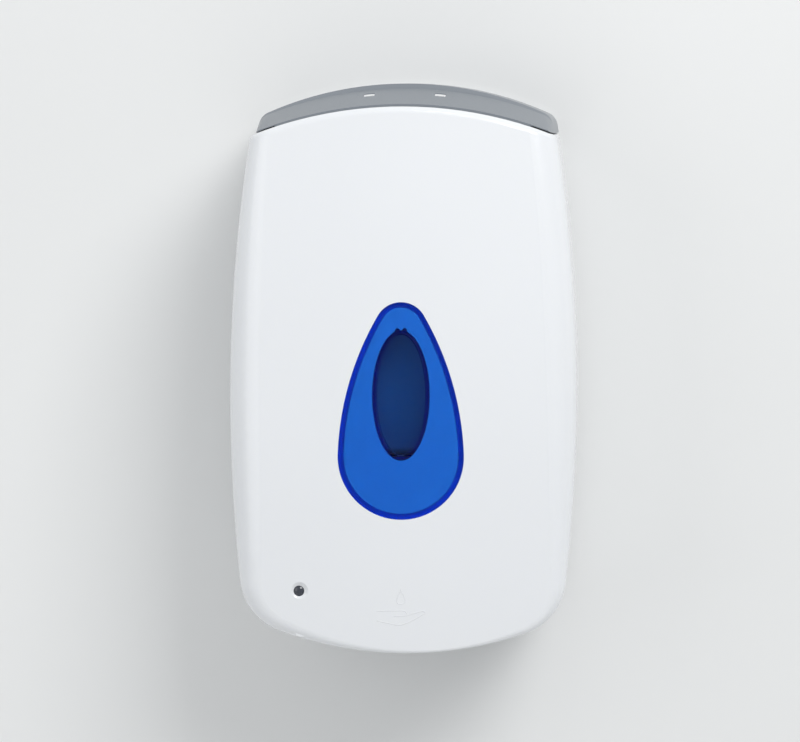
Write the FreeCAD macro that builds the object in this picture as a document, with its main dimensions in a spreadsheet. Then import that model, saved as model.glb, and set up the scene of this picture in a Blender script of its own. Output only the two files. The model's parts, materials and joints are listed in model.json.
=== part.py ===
import FreeCAD, Part
import Sketcher
import math
import os
import re
from FreeCAD import Placement, Rotation, Vector

# Wall mounted touch-free soap dispenser, in millimetres.
# +Z is up, the wall is the plane y = 0 and the front faces -Y. The origin is the centre of the
# four wall screws, on the wall.

SIZES = {
    # outline seen from the front
    "cover_width": 165.0,
    "widest_height": -15.0,
    "side_radius": 800.0,
    "bottom_drop": 135.5,
    "bottom_radius": 189.0,
    "corner_radius": 28.0,
    "cover_rise": 123.0,
    "parting_radius": 195.0,
    "parting_gap": 0.6,
    # front cover
    "cover_reach": 115.0,
    "crown_across_radius": 700.0,
    "crown_up_radius": 1000.0,
    "crown_height": -45.0,
    "cover_wall": 2.5,
    "side_round_top": 13.0,
    "side_round_low": 8.0,
    "rim_round": 3.5,
    "top_round": 3.4,
    "inner_round": 9.5,
    "cover_back_gap": 0.6,
    "top_lip_depth": 6.5,
    "top_lip_step": 2.0,
    "tongue_thickness": 2.5,
    "tongue_width": 13.0,
    "tongue_reach": 4.0,
    "opening_half": 61.0,
    # window and indicator
    "window_top_radius": 12.4,
    "window_top_height": 18.7,
    "window_low_radius": 29.65,
    "window_low_height": -41.6,
    "window_flank_radius": 140.0,
    "window_clearance": 0.15,
    "lens_thickness": 2.0,
    "lens_skirt_width": 2.4,
    "lens_skirt_depth": 4.0,
    "collar_wall": 2.0,
    "collar_length": 6.5,
    "window_floor": 1.8,
    "ellipse_half_width": 11.5,
    "ellipse_half_height": 28.6,
    "ellipse_height": -12.8,
    "clip_width": 2.4,
    "clip_reach": 0.8,
    "clip_height": 1.4,
    "key_rib_radius": 1.0,
    "key_rib_spacing": 3.4,
    "indicator_x": -48.5,
    "indicator_rise": 29.5,
    "indicator_radius": 2.5,
    "indicator_dish_radius": 4.0,
    "indicator_dish_depth": 1.0,
    # top hood
    "hood_edge_height": 0.6,
    "hood_wall": 2.5,
    "skin_offset": 0.05,
    "crease_setback": 31.0,
    "crease_height": 8.5,
    "crease_radius": 180.0,
    "crease_step": 2.2,
    "hood_height": 10.8,
    "hood_radius": 165.0,
    "hood_corner_front": 3.0,
    "hood_corner_rear": 8.0,
    "hood_front_inset": 2.6,
    "hood_crease_inset": 1.2,
    "skirt_clearance": 0.4,
    "key_slot_spacing": 33.0,
    "key_slot_width": 5.2,
    "key_slot_depth": 4.6,
    "key_slot_setback": 23.5,
    # back plate
    "plate_thickness": 4.0,
    "plate_inset": 1.0,
    "screw_spacing_across": 80.0,
    "screw_spacing_up": 150.0,
    "screw_hole_radius": 2.5,
    "shelf_drop": 21.0,
    "shelf_thickness": 2.0,
    "shelf_width": 64.0,
    "rib_thickness": 2.0,
    "hood_boss_length": 16.0,
    "hood_boss_radius": 4.0,
    "small_screw_radius": 1.5,
    "small_head_radius": 2.8,
    "small_head_height": 1.6,
    # latch
    "latch_travel": 4.0,
    "latch_width": 52.0,
    "latch_thickness": 4.0,
    "latch_depth": 11.0,
    "post_width": 6.4,
    "post_depth": 4.0,
    "guide_plate": 1.2,
    "guide_slit": 1.4,
    "slide_clearance": 0.3,
    "guide_radius": 1.4,
    "guide_spacing": 17.0,
    "spring_strip": 0.3,
    "spring_width": 5.0,
    "spring_inner_x": 11.5,
    "spring_outer_x": 24.5,
    # hinge
    "hinge_setback": 21.0,
    "hinge_rise": 14.5,
    "hinge_pin_radius": 2.5,
    "pin_clearance": 0.05,
    "pin_overhang": 0.5,
    "pin_grip": 8.0,
    "ear_radius": 7.0,
    "ear_inner": 46.0,
    "ear_thickness": 4.0,
    "swing_radius": 15.5,
    "swing_clearance": 1.0,
    # drive housing
    "housing_left": 37.0,
    "housing_right": 66.0,
    "housing_reach": 88.0,
    "housing_back_gap": 6.0,
    "housing_wall": 2.0,
    "housing_height": 91.5,
    "base_half_width": 44.0,
    "base_height": 24.0,
    "base_inset": 1.5,
    "mounting_inset": 14.0,
    "housing_screw_inset": 5.0,
    "housing_boss_radius": 3.4,
    "spacer_radius": 4.0,
    "board_post_radius": 2.8,
    "pump_post_radius": 2.6,
    "lug_margin": 2.0,
    "lug_end_gap": 1.0,
    "face_plate": 2.0,
    # pump
    "pump_x": 14.0,
    "pump_rise": 41.5,
    "raceway_radius": 21.2,
    "roller_orbit": 13.0,
    "roller_radius": 5.5,
    "roller_bore": 2.06,
    "roller_length": 9.6,
    "roller_pin_radius": 2.0,
    "tube_radius": 2.5,
    "tube_bore": 1.5,
    "tube_flat": 2.4,
    "tube_flat_width": 8.0,
    "tube_bend": 10.0,
    "pump_half_depth": 8.0,
    "pump_plane": 76.0,
    "pump_block_half": 25.0,
    "rotor_disc_thickness": 2.0,
    "rotor_disc_radius": 17.0,
    "shaft_radius": 2.5,
    # gears and motor
    "gear_module": 0.6,
    "pinion_teeth": 12.0,
    "wheel_teeth": 48.0,
    "final_teeth": 60.0,
    "gear_width": 4.0,
    "gear_layer_back": 57.0,
    "mesh_allowance": 0.12,
    "reduction_angle": 160.0,
    "motor_angle": 180.0,
    "axle_radius": 1.5,
    "motor_radius": 10.0,
    "motor_length": 25.0,
    "motor_cap_length": 4.0,
    "motor_shaft_radius": 1.0,
    "web_thickness": 2.0,
    "motor_screw_radius": 1.0,
    "motor_boss_radius": 3.0,
    "motor_flat_half": 7.8,
    "motor_cap_inset": 0.6,
    "motor_tab_offset": 5.0,
    "motor_screw_offset": 5.5,
    "roller_chamfer": 0.4,
    # batteries
    "cell_radius": 7.1,
    "cell_length": 50.0,
    "cell_nub_radius": 2.7,
    "cell_nub_height": 1.0,
    "cell_clearance": 0.4,
    "cell_box_wall": 1.5,
    "cell_box_rise": 35.5,
    "contact_thickness": 0.4,
    "contact_space": 1.2,
    "cell_lid_thickness": 1.8,
    # control board, switch and sensors
    "board_left": 40.5,
    "board_width": 16.0,
    "board_bottom_rise": 35.0,
    "board_height": 52.0,
    "board_thickness": 1.6,
    "board_screw_offset": 5.0,
    "board_screw_inset": 3.0,
    "board_reach": 79.0,
    "switch_rise": 68.0,
    "switch_travel": 2.0,
    "switch_half_width": 3.0,
    "knob_half": 1.5,
    "knob_proud": 2.0,
    "sensor_reach": 56.0,
    "sensor_half_width": 9.0,
    "sensor_half_depth": 5.0,
    "sensor_thickness": 1.8,
    "diode_radius": 2.5,
    "diode_height": 6.0,
    "diode_spacing": 8.0,
    "sensor_board_half_width": 14.0,
    "sensor_board_half_depth": 7.0,
    "sensor_board_gap": 1.0,
    "fixed_clearance": 0.1,
    # reservoir and nozzle
    "reservoir_width": 120.0,
    "reservoir_reach": 90.0,
    "reservoir_back": 10.0,
    "reservoir_wall": 2.0,
    "reservoir_round": 12.0,
    "reservoir_top_gap": 5.0,
    "fill_width": 84.0,
    "fill_depth": 46.0,
    "fill_lip": 3.0,
    "lid_thickness": 2.0,
    "seal_thickness": 1.0,
    "neck_radius": 5.5,
    "neck_length": 10.0,
    "neck_bore": 3.0,
    "nut_radius": 8.0,
    "nut_height": 12.0,
    "nipple_length": 8.0,
    "nozzle_radius": 4.0,
    "nozzle_flange_radius": 6.5,
    "nozzle_length": 12.0,
    "nozzle_flange_thickness": 1.5,
}

# Places worked out from the sizes. Each may use the sizes and the places above it.
PLACES = {
    "half_width": "cover_width / 2",
    "base_z": "0 - bottom_drop",
    "cover_back": "0 - plate_thickness - cover_back_gap",
    "hood_base_z": "cover_rise + parting_gap",
    "indicator_height": "base_z + indicator_rise",
    "hinge_y": "0 - hinge_setback",
    "hinge_z": "base_z + hinge_rise",
    "shelf_top": "cover_rise - shelf_drop",
    "shelf_low": "shelf_top - shelf_thickness",
    "housing_top": "base_z + housing_height",
    "housing_low": "base_z + base_height",
    "housing_front": "0 - housing_reach",
    "housing_back": "0 - housing_back_gap",
    "pump_z": "base_z + pump_rise",
    "pump_y": "0 - pump_plane",
    "pump_front": "pump_y - pump_half_depth",
    "pump_back": "pump_y + pump_half_depth",
    "near_layer": "0 - gear_layer_back",
    "far_layer": "near_layer - gear_width - 1",
    "web_front": "near_layer + 1",
    "web_back": "web_front + web_thickness",
    "final_distance": "gear_module * (final_teeth + pinion_teeth) / 2 + mesh_allowance",
    "first_distance": "gear_module * (wheel_teeth + pinion_teeth) / 2 + mesh_allowance",
    "reduction_x": "pump_x + final_distance * cos(reduction_angle * 1 deg)",
    "reduction_z": "pump_z + final_distance * sin(reduction_angle * 1 deg)",
    "motor_x": "reduction_x + first_distance * cos(motor_angle * 1 deg)",
    "motor_z": "reduction_z + first_distance * sin(motor_angle * 1 deg)",
    "cell_pitch": "2 * cell_radius + cell_clearance",
    "cell_box_right": "0 - housing_left",
    "cell_box_left": "cell_box_right - 2 * cell_box_wall - 2 * cell_pitch - cell_clearance",
    "cell_box_low": "base_z + cell_box_rise",
    "cell_box_top": "cell_box_low + 2 * cell_box_wall + cell_length + cell_nub_height + 2 * contact_space",
    "cell_box_front": "housing_front + cell_lid_thickness + slide_clearance",
    "cell_box_back": "cell_box_front + 2 * cell_pitch + cell_clearance + cell_box_wall",
    "board_y": "0 - board_reach",
    "board_z": "base_z + board_bottom_rise",
    "switch_x": "board_left + board_width / 2",
    "switch_z": "base_z + switch_rise",
    "sensor_y": "0 - sensor_reach",
    "reservoir_low": "housing_top + 1",
    "reservoir_top": "shelf_low - reservoir_top_gap - lid_thickness",
    "nut_low": "reservoir_low - nut_height",
    "latch_low": "shelf_top + latch_travel + 1.2",
    "bay_low": "hinge_z + swing_radius + swing_clearance",
    "board_front": "board_y - board_thickness",
    "board_right": "board_left + board_width",
    "switch_length": "switch_travel + knob_half + 2",
    "sensor_board_low": "base_z + base_inset + sensor_thickness + diode_height + sensor_board_gap",
    "sensor_window_low": "base_z + base_inset + slide_clearance",
    "motor_back": "web_back + motor_length",
    "motor_end": "motor_back + motor_cap_length",
    "roller_back": "pump_back - 2 * rotor_disc_thickness - 0.5 - slide_clearance",
    "roller_front": "roller_back - roller_length",
    "axle_end": "far_layer - gear_width - 0.8",
    "contact_low": "cell_box_low + cell_box_wall",
    "contact_high": "cell_box_top - cell_box_wall - contact_thickness",
    "contact_half": "cell_radius * 0.7",
    "cell_first_x": "cell_box_left + cell_box_wall + cell_clearance + cell_radius",
    "cell_first_y": "cell_box_front + cell_clearance + cell_radius",
}

document = FreeCAD.newDocument("soap_dispenser")
sizes = document.addObject("Spreadsheet::Sheet", "sizes")
places = document.addObject("Spreadsheet::Sheet", "places")


def link(text):
    """Turns the plain names in an expression into references to the two sheets."""
    def name(match):
        word = match.group(0)
        if word in SIZES:
            return "sizes." + word
        if word in PLACES:
            return "places." + word
        return word
    return re.sub(r"[A-Za-z_][A-Za-z_0-9]*", name, text)


for row, (alias, number) in enumerate(SIZES.items(), start=1):
    sizes.set(f"A{row}", alias)
    sizes.set(f"B{row}", str(number))
    sizes.setAlias(f"B{row}", alias)
for row, (alias, formula) in enumerate(PLACES.items(), start=1):
    places.set(f"A{row}", alias)
    places.setAlias(f"B{row}", alias)
    places.set(f"B{row}", "=" + link(formula).replace("places.", ""))
document.recompute()


class Value:
    """Reads a size or a place by name, for the shapes that are made in code."""
    def __getattr__(self, name):
        sheet = sizes if name in SIZES else places
        return float(sheet.get(name))


v = Value()
nodes = []


# --- helpers for document objects -------------------------------------------------------------

def keep(label, made):
    """Names an object as one of the dispenser's pieces."""
    made.Label = label
    nodes.append(made)
    return made


def block(name, across, depth, height):
    """A box between expressions: across is (low x, high x), depth y and height z."""
    made = document.addObject("Part::Box", name)
    for axis, prop, (low, high) in zip("xyz", ("Length", "Width", "Height"), (across, depth, height)):
        made.setExpression(prop, link(f"({high}) - ({low})"))
        made.setExpression(f"Placement.Base.{axis}", link(low))
    return made


TURNS = {
    "x": Rotation(Vector(0, 1, 0), 90),
    "y": Rotation(Vector(1, 0, 0), -90),
    "z": Rotation(),
}


def rod(name, axis, radius, start, length):
    """A cylinder along +axis from the point start, which is three expressions."""
    made = document.addObject("Part::Cylinder", name)
    made.Placement = Placement(Vector(), TURNS[axis])
    made.setExpression("Radius", link(radius))
    made.setExpression("Height", link(length))
    for letter, text in zip("xyz", start):
        made.setExpression(f"Placement.Base.{letter}", link(text))
    return made


def join(name, *pieces):
    made = document.addObject("Part::MultiFuse", name)
    made.Shapes = list(pieces)
    made.Refine = True
    return made


def cut(name, base, *tools):
    made = document.addObject("Part::Cut", name)
    made.Base = base
    made.Tool = tools[0] if len(tools) == 1 else join(name + "_tools", *tools)
    made.Refine = True
    return made


def overlap(name, first, second):
    made = document.addObject("Part::Common", name)
    made.Base = first
    made.Tool = second
    made.Refine = True
    return made


def compound(name, pieces):
    made = document.addObject("Part::Compound", name)
    made.Links = pieces
    return made


def turned(name, axis, start, corners):
    """A body turned about its own axis: corners are (radius, place along the axis) expressions."""
    body = document.addObject("PartDesign::Body", name)
    body.Placement = Placement(Vector(), TURNS[axis])
    for letter, text in zip("xyz", start):
        body.setExpression(f"Placement.Base.{letter}", link(text))
    sketch = body.newObject("Sketcher::SketchObject", name + "_profile")
    plane = next(item for item in body.Origin.OriginFeatures if item.Role == "XZ_Plane")
    sketch.AttachmentSupport = [(plane, "")]
    sketch.MapMode = "FlatFace"
    count = len(corners)
    # any convex ring in the same order will do to start from: the constraints then place each corner
    turns = [2 * math.pi * (i + 0.5) / count for i in range(count)]
    ring = [Vector(2 - math.cos(turn), 2 - math.sin(turn), 0) for turn in turns]
    for i in range(count):
        sketch.addGeometry(Part.LineSegment(ring[i], ring[(i + 1) % count]))
    for i in range(count):
        sketch.addConstraint(Sketcher.Constraint("Coincident", i, 2, (i + 1) % count, 1))
    for i, corner in enumerate(corners):
        across = ("DistanceX", -2, corner[0], ring[i].x)
        along = ("DistanceY", -1, corner[1], ring[i].y)
        for kind, line, text, now in (across, along):
            if text == "0":
                sketch.addConstraint(Sketcher.Constraint("PointOnObject", i, 1, line))
            else:
                number = sketch.addConstraint(Sketcher.Constraint(kind, -1, 1, i, 1, now))
                sketch.setExpression(f"Constraints[{number}]", link(text))
    turn = body.newObject("PartDesign::Revolution", name + "_turn")
    turn.Profile = sketch
    turn.ReferenceAxis = (sketch, ["V_Axis"])
    turn.Angle = 360
    sketch.Visibility = False
    return body


def coded(name, shape):
    made = document.addObject("Part::Feature", name)
    made.Shape = shape
    made.Placement = Placement()
    return made


def group(name, shapes):
    return coded(name, Part.makeCompound(shapes))


# --- helpers for shapes made in code ----------------------------------------------------------

def slab(x_low, x_high, y_low, y_high, z_low, z_high):
    return Part.makeBox(x_high - x_low, y_high - y_low, z_high - z_low, Vector(x_low, y_low, z_low))


def round_bar(radius, start, end):
    run = end - start
    return Part.makeCylinder(radius, run.Length, start, run)


def meeting(first, first_radius, second, second_radius, near):
    """Where two circles in the XZ plane cross, on the side of the point near."""
    run = second - first
    gap = run.Length
    along = (first_radius ** 2 - second_radius ** 2 + gap ** 2) / (2 * gap)
    aside = math.sqrt(first_radius ** 2 - along ** 2)
    foot = first + run * (along / gap)
    normal = Vector(-run.z, 0, run.x) * (aside / gap)
    crossings = sorted((foot + normal, foot - normal), key=lambda point: (point - near).Length)
    return crossings[0]


def arc(start, middle, end):
    return Part.Arc(start, middle, end).toShape()


def side_centre(sign):
    return Vector(sign * (v.half_width - v.side_radius), 0, v.widest_height)


def side_x(height, inset):
    radius = v.side_radius - inset
    return v.half_width - v.side_radius + math.sqrt(radius ** 2 - (height - v.widest_height) ** 2)


def front_y(height, inset=0.0):
    """The y of the cover's crowned face on the centre line, at a height."""
    radius = v.crown_up_radius - inset
    centre = v.crown_up_radius - v.cover_reach
    return centre - math.sqrt(radius ** 2 - (height - v.crown_height) ** 2)


def outline_prism(inset, back, front, top):
    """The dispenser's front outline, inset all round, from y = back to y = front, up to z = top."""
    side_r = v.side_radius - inset
    low_r = v.bottom_radius - inset
    low_centre = Vector(0, 0, v.base_z + v.bottom_radius)
    corner = meeting(side_centre(1), side_r, low_centre, low_r, Vector(v.half_width, 0, v.base_z))
    mirror = Vector(-corner.x, 0, corner.z)
    top_x = side_x(top, inset)
    top_right = Vector(top_x, 0, top)
    top_left = Vector(-top_x, 0, top)
    widest = Vector(v.half_width - inset, 0, v.widest_height)
    wire = Part.Wire([
        arc(corner, widest, top_right),
        Part.makeLine(top_right, top_left),
        arc(top_left, Vector(-widest.x, 0, widest.z), mirror),
        arc(mirror, Vector(0, 0, v.base_z + inset), corner),
    ])
    face = Part.Face(wire)
    face.translate(Vector(0, back, 0))
    prism = face.extrude(Vector(0, front - back, 0))
    corners = [e for e in prism.Edges if e.BoundBox.XLength < 0.1 and e.BoundBox.ZMax < v.widest_height]
    return prism.makeFillet(v.corner_radius - inset, corners)


def crown_block(inset):
    """Everything behind the cover's crowned face, inset: an arc swept about an axis behind the wall."""
    reach = v.cover_reach - inset
    across = v.crown_across_radius - inset
    half = v.half_width + v.corner_radius / 2
    behind = v.cover_reach / 2
    edge_y = across - reach - math.sqrt(across ** 2 - half ** 2)
    height = v.crown_height
    wire = Part.Wire([
        arc(Vector(-half, edge_y, height), Vector(0, -reach, height), Vector(half, edge_y, height)),
        Part.makeLine(Vector(half, edge_y, height), Vector(half, behind, height)),
        Part.makeLine(Vector(half, behind, height), Vector(-half, behind, height)),
        Part.makeLine(Vector(-half, behind, height), Vector(-half, edge_y, height)),
    ])
    face = Part.Face(wire)
    centre = Vector(0, v.crown_up_radius - v.cover_reach, height)
    sweep = math.degrees(math.asin((v.cover_rise + v.bottom_drop) / v.crown_up_radius))
    face.rotate(centre, Vector(1, 0, 0), -sweep)
    return face.revolve(centre, Vector(1, 0, 0), 2 * sweep)


def under_arc(apex, radius, back, front):
    """A tall block whose top is an arc over the centre line, for trimming at the parting line."""
    return Part.makeCylinder(radius, back - front, Vector(0, front, apex - radius), Vector(0, 1, 0))


def teardrop_face(grow):
    """The window's outline: two round ends joined by long, slightly bowed flanks."""
    top_r = v.window_top_radius + grow
    low_r = v.window_low_radius + grow
    flank_r = v.window_flank_radius + grow
    top = Vector(0, 0, v.window_top_height)
    low = Vector(0, 0, v.window_low_height)
    centre = meeting(top, flank_r - top_r, low, flank_r - low_r, Vector(-flank_r, 0, 0))
    upper = top + (top - centre).normalize() * top_r
    lower = low + (low - centre).normalize() * low_r
    aim = ((upper + lower) / 2 - centre).normalize()
    middle = centre + aim * flank_r

    def flip(point):
        return Vector(-point.x, 0, point.z)

    return Part.Face(Part.Wire([
        arc(flip(upper), top + Vector(0, 0, top_r), upper),
        arc(upper, middle, lower),
        arc(lower, low - Vector(0, 0, low_r), flip(lower)),
        arc(flip(lower), flip(middle), flip(upper)),
    ]))


def through(face, front, back):
    face = face.copy()
    face.translate(Vector(0, front, 0))
    return face.extrude(Vector(0, back - front, 0))


# --- front cover ------------------------------------------------------------------------------

def blank(inset):
    """The space inside the crowned face and the outline, before its edges are rounded."""
    far = -v.cover_reach - v.corner_radius
    top = v.cover_rise + v.corner_radius
    return outline_prism(inset, 0, far, top).common(crown_block(inset))


def rounded_outside():
    """The outer skin that the cover and the hood share: edges rounded more towards the top."""
    outer = blank(0)
    round_base = coded("cover_block", outer)
    rounding = document.addObject("Part::Fillet", "cover_side_rounding")
    rounding.Base = round_base
    rows = []
    for index, edge in enumerate(outer.Edges, start=1):
        box = edge.BoundBox
        if box.YMax > -v.cover_reach / 2 or box.ZMin > v.cover_rise or box.YLength > v.cover_reach / 2:
            continue
        if box.ZLength > v.cover_rise:
            radii = (v.side_round_top, v.side_round_low)
            if edge.Vertexes[0].Point.z < edge.Vertexes[-1].Point.z:
                radii = radii[::-1]
        elif box.XLength > v.half_width:
            radii = (v.rim_round, v.rim_round)
        elif box.ZLength > 1:
            radii = (v.rim_round, v.side_round_low)
            if edge.Vertexes[0].Point.z > edge.Vertexes[-1].Point.z:
                radii = radii[::-1]
        else:
            continue
        rows.append((index,) + radii)
    rounding.Edges = rows
    document.recompute()
    return rounding.Shape


def rounded_inside():
    """The inner skin, one wall inside the outer one."""
    inner = blank(v.cover_wall)
    loop = [e for e in inner.Edges
            if e.BoundBox.YMax < -v.cover_reach / 2 and e.BoundBox.ZMin < v.cover_rise
            and e.BoundBox.YLength < v.cover_reach / 2]
    return inner.makeFillet(v.inner_round, loop)


def front_cover():
    far = -2 * v.cover_reach
    shell = OUTSIDE.common(under_arc(v.cover_rise, v.parting_radius, v.cover_back, far))
    rim_low = v.cover_rise - v.corner_radius
    rim_back = top_lip_back() + v.top_lip_depth
    rim = [e for e in shell.Edges
           if e.BoundBox.ZMin > rim_low and e.BoundBox.YMax < rim_back and e.BoundBox.XLength > v.cover_wall]
    shell = shell.makeFillet(v.top_round, rim)

    inner_top = under_arc(v.cover_rise - v.cover_wall, v.parting_radius - v.cover_wall, 1, far)
    shell = shell.cut(INSIDE.common(inner_top))
    # behind its lip the top is open, so that the latch can stand up to the hood
    lip_back = top_lip_back()
    shell = shell.cut(slab(-v.opening_half, v.opening_half, lip_back, 1,
                           v.cover_rise - v.shelf_drop, v.cover_rise + 1))

    # the bottom is open behind the front lip, where the drive housing fills it
    opening = v.ear_inner - v.slide_clearance
    open_front = v.housing_front - v.cover_back_gap
    shell = shell.cut(slab(-opening, opening, open_front, 1, v.base_z - 1, v.housing_low))
    # the rear lower corners are rounded about the hinge, so that they turn clear of the wall
    turning = slab(-v.cover_width, v.cover_width, v.hinge_y, 1, v.base_z - 1, v.hinge_z)
    turning = turning.cut(Part.makeCylinder(v.swing_radius, 2 * v.cover_width,
                                            Vector(-v.cover_width, v.hinge_y, v.hinge_z), Vector(1, 0, 0)))
    shell = shell.cut(turning)

    # hinge arms along both sides of the bottom opening
    envelope = blank(v.cover_wall / 2).common(under_arc(v.cover_rise, v.parting_radius, v.cover_back, far))
    for sign in (-1, 1):
        inner = sign * v.ear_inner
        outer_x = sign * (v.ear_inner + v.ear_thickness)
        low_x = min(inner, outer_x)
        ear = Part.makeCylinder(v.ear_radius, v.ear_thickness, Vector(low_x, v.hinge_y, v.hinge_z),
                                Vector(1, 0, 0))
        arm = slab(low_x, low_x + v.ear_thickness, -v.cover_reach, v.hinge_y, v.hinge_z - v.ear_radius,
                   v.hinge_z + v.ear_radius)
        shell = shell.fuse(ear.fuse(arm).common(envelope))
        shell = shell.cut(Part.makeCylinder(v.hinge_pin_radius + v.pin_clearance, v.ear_thickness,
                                            Vector(low_x, v.hinge_y, v.hinge_z), Vector(1, 0, 0)))

    # tongues that the latch posts hold
    for sign in (-1, 1):
        centre = sign * v.key_slot_spacing / 2
        top = tongue_top()
        tongue = slab(centre - v.tongue_width / 2, centre + v.tongue_width / 2, tongue_front(),
                      post_y() + v.post_depth + v.tongue_reach, top - v.tongue_thickness, top)
        web = slab(centre - v.tongue_width / 2, centre + v.tongue_width / 2, tongue_front(), lip_back,
                   top - v.tongue_thickness, v.cover_rise - v.cover_wall)
        shell = shell.fuse(tongue.fuse(web).common(envelope))
        hole = post_slab(centre, top - v.tongue_thickness - 1, top + 1, 2 * v.slide_clearance)
        shell = shell.cut(hole)

    # window seat: a floor behind the lens with a moat for its skirt, and the elliptical opening
    seat = drop_prism(v.window_clearance + v.cover_wall)
    seat = seat.common(crown_block(v.cover_wall / 2)).cut(crown_block(v.lens_skirt_depth + v.window_floor))
    shell = shell.fuse(seat)
    recess = drop_prism(v.window_clearance)
    moat = recess.cut(drop_prism(-v.lens_skirt_width - v.window_clearance))
    shell = shell.cut(recess.cut(crown_block(v.lens_thickness + v.window_clearance)))
    shell = shell.cut(moat.cut(crown_block(v.lens_skirt_depth + v.window_clearance)))
    shell = shell.cut(oval_prism(v.collar_wall + v.window_clearance))
    for rib in key_ribs(v.key_rib_radius + v.window_clearance):
        shell = shell.cut(rib)

    # indicator seat
    shell = shell.cut(indicator_bore(v.indicator_radius + v.pin_clearance))
    shell = shell.cut(indicator_dish())
    return shell.removeSplitter()


def tongue_top():
    return v.cover_rise - v.cover_wall - 1


def tongue_front():
    return front_y(tongue_top(), v.cover_wall) - v.cover_wall / 2


def post_y():
    """The front face of the latch's posts, which stand under the key slots."""
    return key_slot_y() - v.post_depth / 2


def post_slab(centre, low, high, grow):
    return slab(centre - v.post_width / 2 - grow, centre + v.post_width / 2 + grow, post_y() - grow,
                post_y() + v.post_depth + grow, low, high)


def top_lip_back():
    """The y of the back of the cover's top lip, behind which the hood stands."""
    return front_y(v.cover_rise) + v.top_lip_depth


def drop_prism(grow):
    return through(teardrop_face(grow), -v.cover_reach - 1, 0)


def oval_prism(grow):
    """The window's elliptical opening, grown all round, right through the cover."""
    centre = Vector(0, 0, v.ellipse_height)
    tall = centre + Vector(0, 0, v.ellipse_half_height + grow)
    wide = centre + Vector(v.ellipse_half_width + grow, 0, 0)
    return through(Part.Face(Part.Wire(Part.Ellipse(tall, wide, centre).toShape())), -v.cover_reach - 1, 0)


def key_ribs(radius):
    """Two small ribs on top of the lens's collar, which let it go in only one way round."""
    top = v.ellipse_height + v.ellipse_half_height + v.collar_wall
    made = []
    for sign in (-1, 1):
        start = Vector(sign * v.key_rib_spacing / 2, front_y(top, v.lens_thickness / 2), top)
        made.append(round_bar(radius, start, start + Vector(0, v.lens_skirt_depth + v.window_floor, 0)))
    return made


def clip_angles():
    """Where the collar's four clips sit, as angles round the ellipse."""
    lift = math.degrees(math.asin(0.56))
    return [lift, 180 - lift, 180 + lift, -lift]


def indicator_bore(radius):
    start = Vector(v.indicator_x, -v.cover_reach - 1, v.indicator_height)
    return Part.makeCylinder(radius, v.cover_reach, start, Vector(0, 1, 0))


def indicator_face_y():
    """The y of the cover's face at the indicator."""
    across = v.crown_across_radius
    sag = across - math.sqrt(across ** 2 - v.indicator_x ** 2)
    return front_y(v.indicator_height) + sag


def indicator_dish():
    start = Vector(v.indicator_x, indicator_face_y() - 0.5, v.indicator_height)
    slope = (v.indicator_dish_radius - v.indicator_radius) / v.indicator_dish_depth
    wide = v.indicator_dish_radius + 0.5 * slope
    return Part.makeCone(wide, v.indicator_radius, v.indicator_dish_depth + 0.5, start, Vector(0, 1, 0))


def window_lens():
    """Blue lens, flush with the cover: a plate with a skirt round its edge and a clipped oval collar."""
    plate = drop_prism(0).common(crown_block(0)).cut(crown_block(v.lens_thickness))
    skirt = drop_prism(0).cut(drop_prism(-v.lens_skirt_width))
    skirt = skirt.common(crown_block(v.lens_thickness / 2)).cut(crown_block(v.lens_skirt_depth))
    collar = oval_prism(v.collar_wall).cut(oval_prism(0))
    collar = collar.common(crown_block(v.lens_thickness / 2))
    collar = collar.cut(crown_block(v.lens_thickness + v.collar_length))
    lens = plate.fuse(skirt).fuse(collar)
    for rib in key_ribs(v.key_rib_radius):
        lens = lens.fuse(rib)
    for angle in clip_angles():
        lens = lens.fuse(collar_clip(math.radians(angle)))
    return lens.removeSplitter()


def collar_clip(angle):
    """A hook on the outside of the collar, just behind the floor that it holds."""
    middle = v.collar_wall / 2
    x = (v.ellipse_half_width + middle) * math.cos(angle)
    z = v.ellipse_height + (v.ellipse_half_height + middle) * math.sin(angle)
    front = front_y(z, v.lens_skirt_depth + v.window_floor) + v.slide_clearance
    reach = middle + v.clip_reach
    half = v.clip_width / 2
    clip = slab(min(x, x + math.copysign(reach, x)), max(x, x + math.copysign(reach, x)), front,
                front + v.clip_height, z - half, z + half)
    return clip


def indicator_lens():
    """Small dark lens with a domed face, pressed into the cover from behind."""
    face = indicator_face_y() + v.indicator_dish_depth
    body = Part.makeCylinder(v.indicator_radius, v.cover_wall - v.indicator_dish_depth + 1.5,
                             Vector(v.indicator_x, face, v.indicator_height), Vector(0, 1, 0))
    dome_radius = v.indicator_radius * 1.6
    dome = Part.makeSphere(dome_radius, Vector(v.indicator_x, face + dome_radius - 0.6, v.indicator_height))
    bore = Part.makeCylinder(v.indicator_radius, 2, Vector(v.indicator_x, face - 1.5, v.indicator_height),
                             Vector(0, 1, 0))
    return body.fuse(dome.common(bore)).removeSplitter()


# --- top hood ---------------------------------------------------------------------------------

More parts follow.
